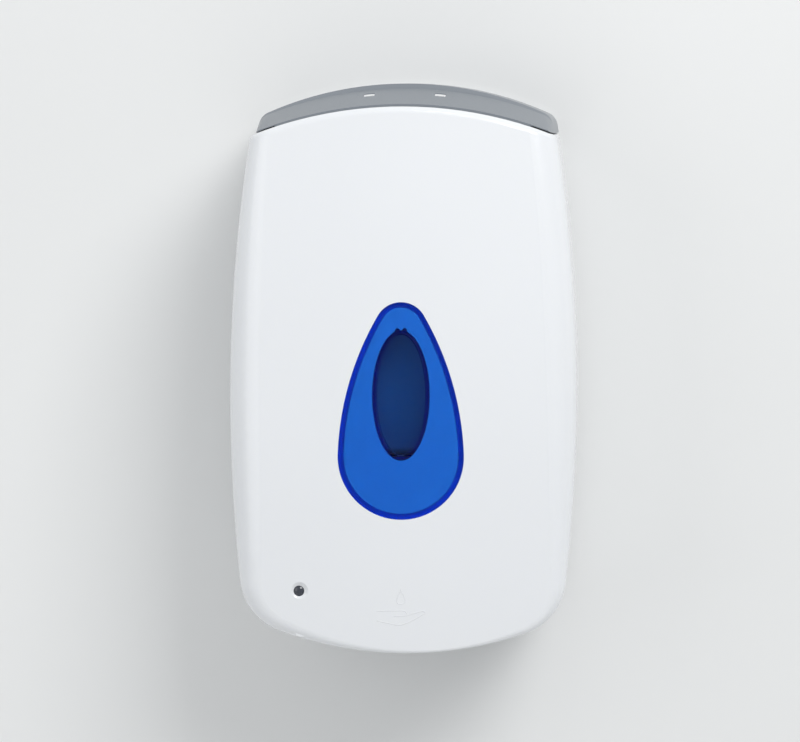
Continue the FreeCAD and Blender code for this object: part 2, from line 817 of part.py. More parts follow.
def hood_section(y, apex, radius, corner, narrow, inset):
    """A closed outline across the hood at one depth: arc over the top, rounded corners, sides, base."""
    top_r = radius - inset
    top_centre = Vector(0, 0, apex - radius)
    side_r = v.side_radius - inset
    sides = side_centre(1) - Vector(narrow, 0, 0)
    round_r = max(corner - inset, 0.5)
    round_centre = meeting(top_centre, top_r - round_r, sides, side_r - round_r,
                           Vector(v.half_width, 0, apex))
    on_top = top_centre + (round_centre - top_centre).normalize() * top_r
    on_side = sides + (round_centre - sides).normalize() * side_r
    between = round_centre + ((on_top + on_side) / 2 - round_centre).normalize() * round_r
    low = v.cover_rise - v.corner_radius
    foot = Vector(side_x(low, inset) - narrow, 0, low)
    middle_z = (on_side.z + low) / 2
    middle = Vector(side_x(middle_z, inset) - narrow, 0, middle_z)

    def flip(point):
        return Vector(-point.x, 0, point.z)

    wire = Part.Wire([
        arc(flip(on_top), Vector(0, 0, apex - inset), on_top),
        arc(on_top, between, on_side),
        arc(on_side, middle, foot),
        Part.makeLine(foot, flip(foot)),
        arc(flip(foot), flip(middle), flip(on_side)),
        arc(flip(on_side), flip(between), flip(on_top)),
    ])
    wire.translate(Vector(0, y, 0))
    return wire


def hood_front():
    """The y of the hood's front wall, just behind the cover's lip."""
    return top_lip_back() + v.skirt_clearance


def hood_blank(inset):
    """Slope up from the front wall to the crease, a short step, then level to the wall."""
    crease = front_y(v.cover_rise) + v.crease_setback
    step = crease + v.crease_step
    top = v.cover_rise + v.hood_height
    rear = -v.plate_thickness + (1 if inset > 1 else 0)
    outer = v.hood_corner_rear
    sections = [
        hood_section(hood_front() + inset, v.hood_base_z + v.hood_edge_height, v.parting_radius,
                     v.hood_corner_front, v.hood_front_inset, inset),
        hood_section(crease, v.cover_rise + v.crease_height, v.crease_radius, outer,
                     v.hood_crease_inset, inset),
        hood_section(step, top, v.hood_radius, outer, v.hood_crease_inset, inset),
        hood_section(rear, top, v.hood_radius, outer, 0, inset),
    ]
    return Part.makeLoft(sections, True, True)


def top_hood():
    parting = under_arc(v.hood_base_z, v.parting_radius + v.parting_gap, 2, -2 * v.cover_reach)
    hood = hood_blank(v.skin_offset).common(OUTSIDE).cut(parting)
    hood = hood.cut(hood_blank(v.hood_wall + v.skin_offset).common(INSIDE))
    # skirt that hangs behind the cover's lip and closes the gap from in front
    half = v.opening_half - v.skirt_clearance
    skirt = slab(-half, half, hood_front(), hood_front() + v.hood_wall, v.cover_rise / 2, v.cover_rise + 1)
    skirt = skirt.common(under_arc(v.hood_base_z + v.hood_edge_height / 2,
                                   v.parting_radius + v.parting_gap, 2, -2 * v.cover_reach))
    hood = hood.fuse(skirt.cut(under_arc(v.cover_rise - v.top_lip_step, v.parting_radius - v.top_lip_step, 2,
                                         -2 * v.cover_reach)))
    for sign in (-1, 1):
        hood = hood.cut(key_slot(sign, v.key_slot_width, v.key_slot_depth))
    # bosses for the screws that come through the back plate
    for place in hood_screw_places():
        rear = place - Vector(0, v.plate_thickness, 0)
        front = rear - Vector(0, v.hood_boss_length, 0)
        boss = round_bar(v.hood_boss_radius, front, rear)
        web = slab(place.x - 1, place.x + 1, front.y, rear.y, place.z, v.cover_rise + v.hood_height)
        hood = hood.fuse(boss.fuse(web).common(hood_blank(v.hood_wall / 2)))
        hole = front + Vector(0, 2 * v.small_screw_radius, 0)
        hood = hood.cut(round_bar(v.small_screw_radius, hole, place))
    return hood.removeSplitter()


def key_slot(sign, width, depth):
    """An upright prism through the hood's front band, turned to follow the arc."""
    centre = sign * v.key_slot_spacing / 2
    slot = slab(-width / 2, width / 2, key_slot_y() - depth / 2, key_slot_y() + depth / 2,
                v.cover_rise, v.cover_rise + v.hood_height)
    lean = math.degrees(math.asin(centre / v.crease_radius))
    slot.rotate(Vector(0, 0, v.cover_rise), Vector(0, 1, 0), lean)
    slot.translate(Vector(centre, 0, 0))
    return slot


def key_slot_y():
    return front_y(v.cover_rise) + v.key_slot_setback


def key_guide():
    """White liner under the hood: a curved plate with two plugs that fill the slots, each with a slit."""
    half = (v.key_slot_spacing + v.key_slot_width) / 2 + 3
    strip = slab(-half, half, key_slot_y() - 4, key_slot_y() + 4, v.cover_rise, v.cover_rise + v.hood_height)
    under = v.hood_wall + 2 * v.skin_offset
    plate = hood_blank(under).common(strip).cut(hood_blank(under + v.guide_plate))
    recess = 0.5
    for sign in (-1, 1):
        plug = key_slot(sign, v.key_slot_width - 2 * v.pin_clearance, v.key_slot_depth - 2 * v.pin_clearance)
        plug = plug.common(hood_blank(recess)).cut(hood_blank(under + v.guide_plate / 2))
        plate = plate.fuse(plug)
    for sign in (-1, 1):
        plate = plate.cut(key_slot(sign, v.key_slot_width - 1.6, v.guide_slit))
    return max(plate.Solids, key=lambda solid: solid.Volume).removeSplitter()


def hood_screw_places():
    across = v.half_width * 0.55
    return [Vector(sign * across, 0, v.cover_rise - 1) for sign in (-1, 1)]


def screw(start, direction, length, radius):
    """A pan-head screw whose head's underside is at start and whose shank runs along direction."""
    head_radius = radius * v.small_head_radius / v.small_screw_radius
    head_height = radius * v.small_head_height / v.small_screw_radius
    top = start - direction * head_height
    head = Part.makeCylinder(head_radius, head_height, top, direction)
    recess = Part.makeCylinder(radius * 0.6, head_height / 2, top, direction)
    shank = Part.makeCylinder(radius, length, start, direction)
    return head.fuse(shank).cut(recess).removeSplitter()


def hood_screws():
    seat = Vector(0, -v.small_head_height - 0.3, 0)
    return [screw(place + seat, Vector(0, -1, 0), 12, v.small_screw_radius) for place in hood_screw_places()]


def drive_cover_screws():
    return [screw(place, Vector(0, 1, 0), 10, v.small_screw_radius) for place in housing_screw_places()]


def mounting_screws():
    seat = Vector(0, -v.housing_wall, 0)
    inward = Vector(0, 1, 0)
    return [screw(place + seat, inward, 6, v.small_screw_radius) for place in mounting_screw_places()]


def board_screws():
    seat = Vector(0, -v.board_thickness, 0)
    return [screw(place + seat, Vector(0, 1, 0), 8, v.small_screw_radius) for place in board_post_places()]


def motor_screws():
    return [screw(place, Vector(0, 1, 0), 4.5, v.motor_screw_radius) for place in motor_screw_places()]


# --- back plate -------------------------------------------------------------------------------

def back_plate():
    top = v.cover_rise + 2 * v.hood_height
    plate = outline_prism(v.plate_inset, 0, -v.plate_thickness, top)
    reach = v.cover_rise + v.hood_height - v.plate_inset
    plate = plate.common(under_arc(reach, v.hood_radius - v.plate_inset, 1, -2 * v.plate_thickness))
    corners = [e for e in plate.Edges if e.BoundBox.XLength < 0.1 and e.BoundBox.ZMin > 0
               and abs(e.BoundBox.YLength - v.plate_thickness) < 0.1]
    plate = plate.makeFillet(v.hood_corner_rear, corners)
    front_edges = [e for e in plate.Edges if e.BoundBox.YMax < -v.plate_thickness + 0.01]
    plate = plate.makeChamfer(0.6, front_edges)
    for x in (-v.screw_spacing_across / 2, v.screw_spacing_across / 2):
        for z in (-v.screw_spacing_up / 2, v.screw_spacing_up / 2):
            plate = plate.cut(round_bar(v.screw_hole_radius, Vector(x, 1, z),
                                        Vector(x, -v.plate_thickness - 1, z)))
    # latch shelf with its two gussets
    half = v.shelf_width / 2
    shelf_front = latch_front()
    shelf = slab(-half, half, shelf_front, -v.plate_thickness / 2, v.shelf_low, v.shelf_top)
    plate = plate.fuse(shelf)
    for sign in (-1, 1):
        x = sign * (half - v.rib_thickness / 2) - v.rib_thickness / 2
        corner = Vector(x, -v.plate_thickness / 2, v.shelf_top)
        rib = Part.Face(Part.makePolygon([
            corner,
            corner + Vector(0, 0, v.shelf_drop * 0.8),
            Vector(x, shelf_front * 0.75, v.shelf_top),
            corner,
        ])).extrude(Vector(v.rib_thickness, 0, 0))
        plate = plate.fuse(rib)
        guide = Vector(sign * v.guide_spacing / 2, latch_middle(), v.shelf_top - 1)
        plate = plate.fuse(round_bar(v.guide_radius, guide, guide + Vector(0, 0, v.latch_travel + 6)))
    # side rails that guide the reservoir
    rail_inner = v.reservoir_width / 2 + 1
    for sign in (-1, 1):
        x = sorted((sign * rail_inner, sign * (rail_inner + v.rib_thickness)))
        plate = plate.fuse(slab(x[0], x[1], -v.reservoir_reach * 0.35, -v.plate_thickness / 2,
                                v.reservoir_low + 5, v.reservoir_top - 12))
    for place in mounting_screw_places():
        plate = plate.cut(round_bar(v.small_screw_radius, Vector(place.x, -v.plate_thickness - 1, place.z),
                                    Vector(place.x, -1, place.z)))
    for place in hood_screw_places():
        plate = plate.cut(round_bar(v.small_screw_radius + 0.1, place + Vector(0, 1, 0),
                                    place - Vector(0, v.plate_thickness + 1, 0)))
        plate = plate.cut(round_bar(v.small_head_radius + 0.2, place + Vector(0, 1, 0),
                                    place - Vector(0, v.small_head_height + 0.3, 0)))
    return plate.removeSplitter()


# --- latch ------------------------------------------------------------------------------------

def latch_front():
    return post_y() - 1.5


def latch_middle():
    return latch_front() + v.latch_depth / 2


def latch_bar():
    half = v.latch_width / 2
    low = v.latch_low
    bar = slab(-half, half, latch_front(), latch_front() + v.latch_depth, low, low + v.latch_thickness)
    for sign in (-1, 1):
        centre = sign * v.key_slot_spacing / 2
        post_top = tongue_top() + 0.6
        bar = bar.fuse(post_slab(centre, low, post_top, 0))
        guide = Vector(sign * v.guide_spacing / 2, latch_middle(), low)
        bar = bar.cut(round_bar(v.guide_radius + v.slide_clearance, guide,
                                guide + Vector(0, 0, v.latch_thickness)))
    return bar.removeSplitter()


def latch_springs():
    """Two folded strip springs under the latch bar: three legs each, that fold flat as it goes down."""
    made = []
    legs = 3
    rise = (v.latch_low - v.shelf_top - v.spring_strip) / legs
    front = latch_middle() - v.spring_width / 2
    for sign in (-1, 1):
        ends = (sign * v.spring_inner_x, sign * v.spring_outer_x)
        strip = None
        for leg in range(legs):
            start = Vector(ends[leg % 2], front, v.shelf_top + leg * rise)
            end = Vector(ends[(leg + 1) % 2], front, start.z + rise)
            lift = Vector(0, 0, v.spring_strip)
            side = Part.Face(Part.makePolygon([start, end, end + lift, start + lift, start]))
            solid = side.extrude(Vector(0, v.spring_width, 0))
            strip = strip.fuse(solid) if strip else solid
        made.append(strip.removeSplitter())
    return made


# --- pump -------------------------------------------------------------------------------------

def pump_axis(y):
    return Vector(v.pump_x, y, v.pump_z)


def tube_route(radius):
    """The feed tube's two free runs, swept round, at a radius. The raceway holds the flat stretch."""
    bend = v.tube_bend
    mid = v.raceway_radius - v.tube_flat + v.tube_radius
    y = v.pump_y
    sin45 = math.sqrt(0.5)
    solids = []
    for sign, start_z in ((1, v.nut_low - 1), (-1, nozzle_top())):
        turn_z = v.pump_z + sign * mid
        line_end = Vector(0, y, turn_z + sign * bend)
        bend_end = Vector(bend, y, turn_z)
        middle = Vector(bend * (1 - sin45), y, turn_z + sign * bend * (1 - sin45))
        run_end = Vector(v.pump_x, y, turn_z)
        path = Part.Wire([
            Part.makeLine(Vector(0, y, start_z), line_end),
            arc(line_end, middle, bend_end),
            Part.makeLine(bend_end, run_end),
        ])
        profile = Part.Wire(Part.makeCircle(radius, Vector(0, y, start_z), Vector(0, 0, 1)))
        solids.append(path.makePipeShell([profile], True, False))
    return solids


def flat_stretch(inner, outer, half_width):
    """The right-hand half ring round the rotor."""
    depth = Vector(0, 2 * half_width, 0)
    start = pump_axis(v.pump_y - half_width)
    ring = Part.makeCylinder(outer, depth.y, start, Vector(0, 1, 0))
    ring = ring.cut(Part.makeCylinder(inner, depth.y, start, Vector(0, 1, 0)))
    keep_right = slab(v.pump_x, v.pump_x + outer + 1, v.pump_y - half_width - 1, v.pump_y + half_width + 1,
                      v.pump_z - outer - 1, v.pump_z + outer + 1)
    return ring.common(keep_right)


def pump_tube():
    upper, lower = tube_route(v.tube_radius)
    upper_bore, lower_bore = tube_route(v.tube_bore)
    flat = flat_stretch(v.raceway_radius - v.tube_flat, v.raceway_radius, v.tube_flat_width / 2)
    tube = upper.fuse(flat).fuse(lower).cut(upper_bore).cut(lower_bore)
    return tube.removeSplitter()


def pump_block():
    """Block with the round raceway and channels where the tube comes in and goes out."""
    half = v.pump_block_half
    block_solid = slab(v.pump_x - half + 3, v.pump_x + half, v.pump_front, v.pump_back,
                       v.pump_z - half - 1, v.pump_z + half + 1)
    back_wall = v.rotor_disc_thickness
    pocket = Part.makeCylinder(v.raceway_radius, 2 * v.pump_half_depth - back_wall, pump_axis(v.pump_front),
                               Vector(0, 1, 0))
    block_solid = block_solid.cut(pocket)
    for channel in tube_route(v.tube_radius + v.slide_clearance):
        block_solid = block_solid.cut(channel)
    width = v.tube_radius + v.slide_clearance
    for sign in (1, -1):
        z = v.pump_z + sign * (v.raceway_radius - v.tube_flat + v.tube_radius)
        top = z + sign * (v.tube_bend + 5)
        low_z, high_z = sorted((z - sign * width, top))
        channel = slab(-width, v.pump_x, v.pump_front - 1, v.pump_y, low_z, high_z)
        block_solid = block_solid.cut(channel)
    bore = Part.makeCylinder(v.shaft_radius + v.pin_clearance, back_wall, pump_axis(v.pump_back - back_wall),
                             Vector(0, 1, 0))
    block_solid = block_solid.cut(bore)
    biggest = max(block_solid.Solids, key=lambda solid: solid.Volume)
    return biggest.removeSplitter()


def roller_place(number, y):
    angle = math.radians(90 + 120 * number)
    return pump_axis(y) + Vector(v.roller_orbit * math.cos(angle), 0, v.roller_orbit * math.sin(angle))


def rotor_layers():
    back = v.pump_back - v.rotor_disc_thickness - 0.5
    disc_front = back - v.rotor_disc_thickness
    roller_back = disc_front - 0.3
    return back, disc_front, roller_back, roller_back - v.roller_length


def gear(teeth, phase, start, width):
    """An involute spur gear on an axis along Y. phase turns it; tooth number 0 points at that angle."""
    module = v.gear_module
    pitch = module * teeth / 2
    tip = pitch + 0.9 * module
    root = pitch - 1.2 * module
    pressure = math.radians(25)
    base = pitch * math.cos(pressure)
    slim = 0.88
    half_pitch_angle = slim * math.pi / (2 * teeth)
    involute_at_pitch = math.tan(pressure) - pressure

    def flank(radius, side):
        if radius <= base:
            spread = half_pitch_angle + involute_at_pitch
        else:
            pressure_here = math.acos(base / radius)
            spread = half_pitch_angle + involute_at_pitch - (math.tan(pressure_here) - pressure_here)
        return radius, side * spread

    def at(radius, angle):
        return Vector(radius * math.cos(angle), radius * math.sin(angle), 0)

    steps = 3
    begin = max(base, root)
    radii = [begin + (tip - begin) * step / steps for step in range(steps + 1)]
    if root < base:
        radii.insert(0, root)
    edges = []
    previous = None
    first = None
    for tooth in range(int(teeth)):
        centre = 2 * math.pi * tooth / teeth
        rising = [at(r, centre + a) for r, a in (flank(radius, -1) for radius in radii)]
        falling = [at(r, centre + a) for r, a in (flank(radius, 1) for radius in reversed(radii))]
        if previous is not None:
            edges.append(Part.makeLine(previous, rising[0]))
        else:
            first = rising[0]
        for line in (rising, falling):
            for low, high in zip(line, line[1:]):
                edges.append(Part.makeLine(low, high))
            if line is rising:
                edges.append(Part.makeLine(rising[-1], falling[0]))
        previous = falling[-1]
    edges.append(Part.makeLine(previous, first))
    wheel = Part.Face(Part.Wire(edges)).extrude(Vector(0, 0, width))
    wheel.rotate(Vector(), Vector(0, 0, 1), phase)
    wheel.rotate(Vector(), Vector(1, 0, 0), 90)
    wheel.translate(start)
    return wheel


def pump_rotor():
    """Rotor disc with its shaft, three roller pins and the final gear."""
    back, disc_front, roller_back, roller_front = rotor_layers()
    toward = v.reduction_angle
    gear_back = v.near_layer
    rotor = Part.makeCylinder(v.rotor_disc_radius, back - disc_front, pump_axis(disc_front), Vector(0, 1, 0))
    rotor = rotor.fuse(round_bar(v.shaft_radius, pump_axis(gear_back + 0.8), pump_axis(disc_front)))
    hub_front = roller_front - 0.8
    rotor = rotor.fuse(round_bar(v.shaft_radius + 1, pump_axis(disc_front), pump_axis(hub_front)))
    for number in range(3):
        rotor = rotor.fuse(round_bar(v.roller_pin_radius, roller_place(number, disc_front),
                                     roller_place(number, hub_front)))
    wheel = gear(v.final_teeth, toward + 180 / v.final_teeth, pump_axis(gear_back), v.gear_width)
    return rotor.fuse(wheel).removeSplitter()


def roller(number):
    """A ring with chamfered rims, turned about its pin."""
    angle = 90 + 120 * number
    start = (f"pump_x + roller_orbit * cos({angle} deg)", "roller_front",
             f"pump_z + roller_orbit * sin({angle} deg)")
    return turned(f"roller_{number + 1}", "y", start, [
        ("roller_bore", "0"),
        ("roller_radius - roller_chamfer", "0"),
        ("roller_radius", "roller_chamfer"),
        ("roller_radius", "roller_length - roller_chamfer"),
        ("roller_radius - roller_chamfer", "roller_length"),
        ("roller_bore", "roller_length"),
    ])


def reduction_gear():
    place = Vector(v.reduction_x, v.near_layer, v.reduction_z)
    toward_rotor = v.reduction_angle + 180
    small = gear(v.pinion_teeth, toward_rotor, place, v.gear_width + 1)
    large_place = Vector(v.reduction_x, v.far_layer, v.reduction_z)
    large = gear(v.wheel_teeth, v.motor_angle, large_place, v.gear_width)
    start = Vector(v.reduction_x, v.near_layer, v.reduction_z)
    bore = round_bar(v.axle_radius + v.pin_clearance, start + Vector(0, 1, 0),
                     start - Vector(0, 2 * v.gear_width + 3, 0))
    return small.fuse(large).cut(bore).removeSplitter()


def motor_pinion():
    """Motor shaft and the pinion pressed on it."""
    place = Vector(v.motor_x, v.far_layer, v.motor_z)
    phase = v.motor_angle + 180 + 180 / v.pinion_teeth
    pinion = gear(v.pinion_teeth, phase, place, v.gear_width)
    shaft = round_bar(v.motor_shaft_radius, Vector(v.motor_x, v.web_back + v.motor_length - 1, v.motor_z),
                      Vector(v.motor_x, v.far_layer - v.gear_width, v.motor_z))
    return pinion.fuse(shaft).removeSplitter()


def motor():
    """Motor can with flattened sides, a front boss, two screw holes and a bore along its shaft."""
    can = rod("motor_round", "y", "motor_radius", ("motor_x", "web_back", "motor_z"), "motor_length")
    flats = block("motor_flats", ("motor_x - motor_radius", "motor_x + motor_radius"),
                  ("web_back", "motor_back"),
                  ("motor_z - motor_flat_half", "motor_z + motor_flat_half"))
    boss = rod("motor_boss", "y", "motor_boss_radius", ("motor_x", "web_front", "motor_z"),
               "web_thickness + pin_clearance")
    tools = [rod("motor_bore", "y", "motor_shaft_radius + pin_clearance", ("motor_x", "web_front", "motor_z"),
                 "web_thickness + motor_length")]
    for name, sign in (("motor_hole_low", "-"), ("motor_hole_high", "+")):
        tools.append(rod(name, "y", "motor_screw_radius",
                         ("motor_x", "web_back", f"motor_z {sign} motor_screw_offset"),
                         "3 * motor_screw_radius"))
    body = join("motor_body", overlap("motor_can", can, flats), boss)
    return cut("motor", body, *tools)


def motor_cap():
    can = rod("motor_cap_round", "y", "motor_radius - motor_cap_inset", ("motor_x", "motor_back", "motor_z"),
              "motor_cap_length")
    flats = block("motor_cap_flats", ("motor_x - motor_radius", "motor_x + motor_radius"),
                  ("motor_back", "motor_end"),
                  ("motor_z - motor_flat_half + motor_cap_inset",
                   "motor_z + motor_flat_half - motor_cap_inset"))
    tabs = []
    for name, sign in (("motor_tab_left", "-"), ("motor_tab_right", "+")):
        middle = f"motor_x {sign} motor_tab_offset"
        tabs.append(block(name, (f"{middle} - motor_screw_radius", f"{middle} + motor_screw_radius"),
                          ("motor_end - motor_screw_radius", "motor_end + 3 * motor_screw_radius"),
                          ("motor_z - motor_screw_radius / 4", "motor_z + motor_screw_radius / 4")))
    return join("motor_cap", overlap("motor_cap_body", can, flats), *tabs)


# --- drive housing ----------------------------------------------------------------------------

def nozzle_top():
    return v.base_z + v.base_inset + v.nozzle_length - 3


def housing_screw_places():
    """Corners of the drive housing, where the face plate's screws go in."""
    inset = v.housing_screw_inset
    left = -v.housing_left + inset
    right = v.housing_right - inset
    low_left = v.housing_low + inset
    low_right = v.bay_low + inset
    high = v.housing_top - inset
    corners = ((left, low_left), (left, high), (right, low_right), (right, high))
    return [Vector(x, v.housing_front, z) for x, z in corners]


def mounting_screw_places():
    """Where the drive housing is screwed to the back plate."""
    inset = v.mounting_inset
    across = (-v.housing_left + inset, v.housing_right - inset)
    up = (v.bay_low + inset / 2, v.housing_top - inset)
    return [Vector(x, v.housing_back, z) for x in across for z in up]


def housing_outline(front, back, inset):
    """The housing's upper part. Its right-hand bay ends higher, clear of the cover's turning edge."""
    main = slab(-v.housing_left + inset, v.base_half_width - inset, front, back, v.housing_low + inset,
                v.housing_top - inset)
    bay = slab(0, v.housing_right - inset, front, back, v.bay_low + inset, v.housing_top - inset)
    return main.fuse(bay)


def drive_housing():
    front = v.housing_front + v.face_plate
    wall = v.housing_wall
    upper = housing_outline(front, v.housing_back, 0)
    base_back = v.housing_back
    base = slab(-v.base_half_width, v.base_half_width, front, base_back, v.base_z, v.housing_low + wall)
    base = base.common(outline_prism(v.base_inset, 1, -2 * v.cover_reach, v.cover_rise))
    housing = upper.fuse(base)
    room = housing_outline(front, v.housing_back - wall, wall)
    base_room = slab(-v.base_half_width + wall + 2, v.base_half_width - wall - 2, front, base_back - wall,
                     v.base_z, v.housing_low + 2 * wall)
    base_room = base_room.common(outline_prism(v.base_inset + 2 * wall, 1, -2 * v.cover_reach, v.cover_rise))
    housing = housing.cut(room).cut(base_room)
    # web that carries the motor, the reduction gear's axle and the pump block
    web = slab(-v.housing_left + wall / 2, v.pump_x + v.pump_block_half, v.web_front, v.web_back,
               v.housing_low, v.housing_top - wall / 2)
    rotor_bore = round_bar(v.shaft_radius + v.pin_clearance, pump_axis(v.web_back), pump_axis(v.web_front))
    web = web.cut(rotor_bore)
    web = web.cut(round_bar(v.motor_boss_radius, Vector(v.motor_x, v.web_back, v.motor_z),
                            Vector(v.motor_x, v.web_front, v.motor_z)))
    web = web.cut(round_bar(v.axle_radius, Vector(v.reduction_x, v.web_back, v.reduction_z),
                            Vector(v.reduction_x, v.web_front, v.reduction_z)))
    for place in motor_screw_places():
        web = web.cut(round_bar(v.motor_screw_radius + 0.1, place, place + Vector(0, v.web_thickness, 0)))
    housing = housing.fuse(web)
    for place in board_post_places():
        foot = Vector(place.x, v.housing_back - 1, place.z)
        housing = housing.fuse(round_bar(v.board_post_radius, foot, place))
        housing = housing.cut(round_bar(v.small_screw_radius, place, place + Vector(0, 8, 0)))
    rib_front = v.sensor_y - v.sensor_board_half_depth
    rib_back = v.sensor_y + v.sensor_board_half_depth
    rib_outer = v.sensor_board_half_width
    for x in (-rib_outer, rib_outer - v.rib_thickness):
        housing = housing.fuse(slab(x, x + v.rib_thickness, rib_front, rib_back,
                                    v.base_z + v.base_inset + wall, v.sensor_board_low))
    for place in pump_post_places():
        housing = housing.fuse(round_bar(v.pump_post_radius, Vector(place.x, v.web_front + 0.5, place.z),
                                         Vector(place.x, v.pump_back, place.z)))
    for place in housing_screw_places():
        start = Vector(place.x, front, place.z)
        boss = round_bar(v.housing_boss_radius, start, Vector(place.x, v.housing_back, place.z))
        gusset_x = sorted((place.x, place.x + math.copysign(v.housing_screw_inset, place.x)))
        gusset = slab(gusset_x[0], gusset_x[1], front, v.housing_back, place.z - 1, place.z + 1)
        housing = housing.fuse(boss.fuse(gusset).common(upper))
        housing = housing.cut(round_bar(v.small_screw_radius, start, start + Vector(0, 10, 0)))
    clear_radius = v.small_screw_radius + v.fixed_clearance
    for place in mounting_screw_places():
        on_plate = Vector(place.x, -v.plate_thickness, place.z)
        inside = Vector(place.x, v.housing_back - wall - 1, place.z)
        housing = housing.fuse(round_bar(v.spacer_radius, on_plate, place))
        housing = housing.cut(round_bar(clear_radius, Vector(place.x, 0, place.z), inside))
    # outlet, nozzle, sensor and hinge openings
    outlet = Vector(0, v.pump_y, v.housing_top + 1)
    housing = housing.cut(round_bar(v.nut_radius + 0.5, outlet, outlet - Vector(0, 0, wall + 2)))
    spout = Vector(0, v.pump_y, v.base_z - 1)
    housing = housing.cut(round_bar(v.nozzle_radius, spout, spout + Vector(0, 0, v.ear_radius + 2)))
    housing = housing.cut(sensor_opening())
    hinge = Vector(0, v.hinge_y, v.hinge_z)
    for sign in (-1, 1):
        pin_end = hinge + Vector(sign * (v.base_half_width - v.pin_grip), 0, 0)
        inner = pin_end - Vector(sign * v.lug_margin, 0, 0)
        outer = hinge + Vector(sign * (v.base_half_width - v.lug_end_gap), 0, 0)
        past = hinge + Vector(sign * (v.base_half_width + 1), 0, 0)
        housing = housing.fuse(round_bar(v.ear_radius - 1, inner, outer))
        housing = housing.cut(round_bar(v.hinge_pin_radius, pin_end, past))
    return housing.removeSplitter()


def motor_screw_places():
    return [Vector(v.motor_x, v.web_front, v.motor_z + sign * v.motor_screw_offset) for sign in (-1, 1)]


def board_post_places():
    middle = v.board_left + v.board_width / 2
    aside = v.board_screw_offset
    low = v.board_z + v.board_screw_inset
    high = v.board_z + v.board_height - v.board_screw_inset
    return [Vector(middle - aside, v.board_y, low), Vector(middle + aside, v.board_y, high)]


def pump_post_places():
    half = v.pump_block_half - 3
    return [Vector(v.pump_x + half, 0, v.pump_z + half), Vector(v.pump_x + half, 0, v.pump_z - half + 8)]


def sensor_opening():
    half = v.sensor_half_width
    return slab(-half, half, v.sensor_y - v.sensor_half_depth, v.sensor_y + v.sensor_half_depth,
                v.base_z - 1, v.sensor_board_low - v.sensor_board_gap)


def hinge_pins():
    length = "pin_grip + ear_inner - base_half_width + ear_thickness + pin_overhang"
    starts = {
        "left_pin": "0 - ear_inner - ear_thickness - pin_overhang",
        "right_pin": "base_half_width - pin_grip",
    }
    return compound("hinge_pins", [rod(name, "x", "hinge_pin_radius", (x, "hinge_y", "hinge_z"), length)
                                   for name, x in starts.items()])


def drive_cover():
    """Face plate over the housing, with an arm at the lower left for the indicator's light."""
    low = v.housing_low
    back = v.housing_front + v.face_plate
    plate = housing_outline(v.housing_front, back, 0)
    base = slab(-v.base_half_width, v.base_half_width, v.housing_front, back, v.base_z, low + 1)
    plate = plate.fuse(base.common(outline_prism(v.base_inset, 1, -2 * v.cover_reach, v.cover_rise)))
    arm = slab(v.indicator_x - 6, -v.housing_left + 2, v.housing_front, back, v.indicator_height - 5,
               v.indicator_height + 5)
    plate = plate.fuse(arm)
    for place in housing_screw_places():
        plate = plate.cut(round_bar(v.small_screw_radius + 0.1, Vector(place.x, back, place.z),
                                    Vector(place.x, v.housing_front, place.z)))
    plate = plate.cut(round_bar(v.diode_radius, Vector(v.indicator_x, back, v.indicator_height),
                                Vector(v.indicator_x, v.housing_front, v.indicator_height)))
    slot = slab(v.switch_x - v.knob_half - v.slide_clearance, v.switch_x + v.knob_half + v.slide_clearance,
                v.housing_front - 1, back + 1, v.switch_z - v.knob_half - v.switch_travel - v.slide_clearance,
                v.switch_z + v.knob_half + v.switch_travel + v.slide_clearance)
    return plate.cut(slot).removeSplitter()


def battery_box():
    outer = block("battery_box_outside", ("cell_box_left", "cell_box_right"),
                  ("cell_box_front", "cell_box_back"), ("cell_box_low", "cell_box_top"))
    room = block("battery_box_room", ("cell_box_left + cell_box_wall", "cell_box_right - cell_box_wall"),
                 ("cell_box_front", "cell_box_back - cell_box_wall"),
                 ("cell_box_low + cell_box_wall", "cell_box_top - cell_box_wall"))
    return cut("battery_box", outer, room)


def cell_places():
    low = v.contact_low + v.contact_space
    return [Vector(v.cell_first_x + i * v.cell_pitch, v.cell_first_y + j * v.cell_pitch, low)
            for i in range(2) for j in range(2)]


def battery_cells():
    made = []
    for number, place in enumerate(cell_places()):
        upright = number in (0, 3)
        body_low = place.z + (0 if upright else v.cell_nub_height)
        can = Part.makeCylinder(v.cell_radius, v.cell_length, Vector(place.x, place.y, body_low))
        rims = [e for e in can.Edges if e.BoundBox.ZLength < 0.1]
        can = can.makeFillet(0.5, rims)
        nub_low = body_low + v.cell_length if upright else place.z
        nub = Part.makeCylinder(v.cell_nub_radius, v.cell_nub_height, Vector(place.x, place.y, nub_low))
        made.append(can.fuse(nub).removeSplitter())
    return made


def battery_contacts():
    """A square contact at both ends of each cell."""
    made = []
    for low in ("contact_low", "contact_high"):
        for i in range(2):
            for j in range(2):
                x = f"cell_first_x + {i} * cell_pitch"
                y = f"cell_first_y + {j} * cell_pitch"
                made.append(block(f"{low}_{i}_{j}", (f"{x} - contact_half", f"{x} + contact_half"),
                                  (f"{y} - contact_half", f"{y} + contact_half"),
                                  (low, f"{low} + contact_thickness")))
    return compound("battery_contacts", made)


def battery_lid():
    """Lid in front of the cells, with three thumb ridges. It slides away from the pump to come free."""
    front = v.housing_front
    back = front + v.cell_lid_thickness
    lid = slab(v.cell_box_left + 0.5, v.cell_box_right - 0.5, front, back, v.cell_box_low, v.cell_box_top)
    outline = [e for e in lid.Edges if abs(e.BoundBox.YLength - v.cell_lid_thickness) < 0.01]
    lid = lid.makeFillet(2, outline)
    middle = (v.cell_box_low + v.cell_box_top) / 2
    for row in range(3):
        x = v.cell_box_left + 7 + 2.4 * row
        ridge = round_bar(0.6, Vector(x, front, middle - 8), Vector(x, front, middle + 8))
        lid = lid.fuse(ridge)
    return lid.removeSplitter()


# --- reservoir --------------------------------------------------------------------------------

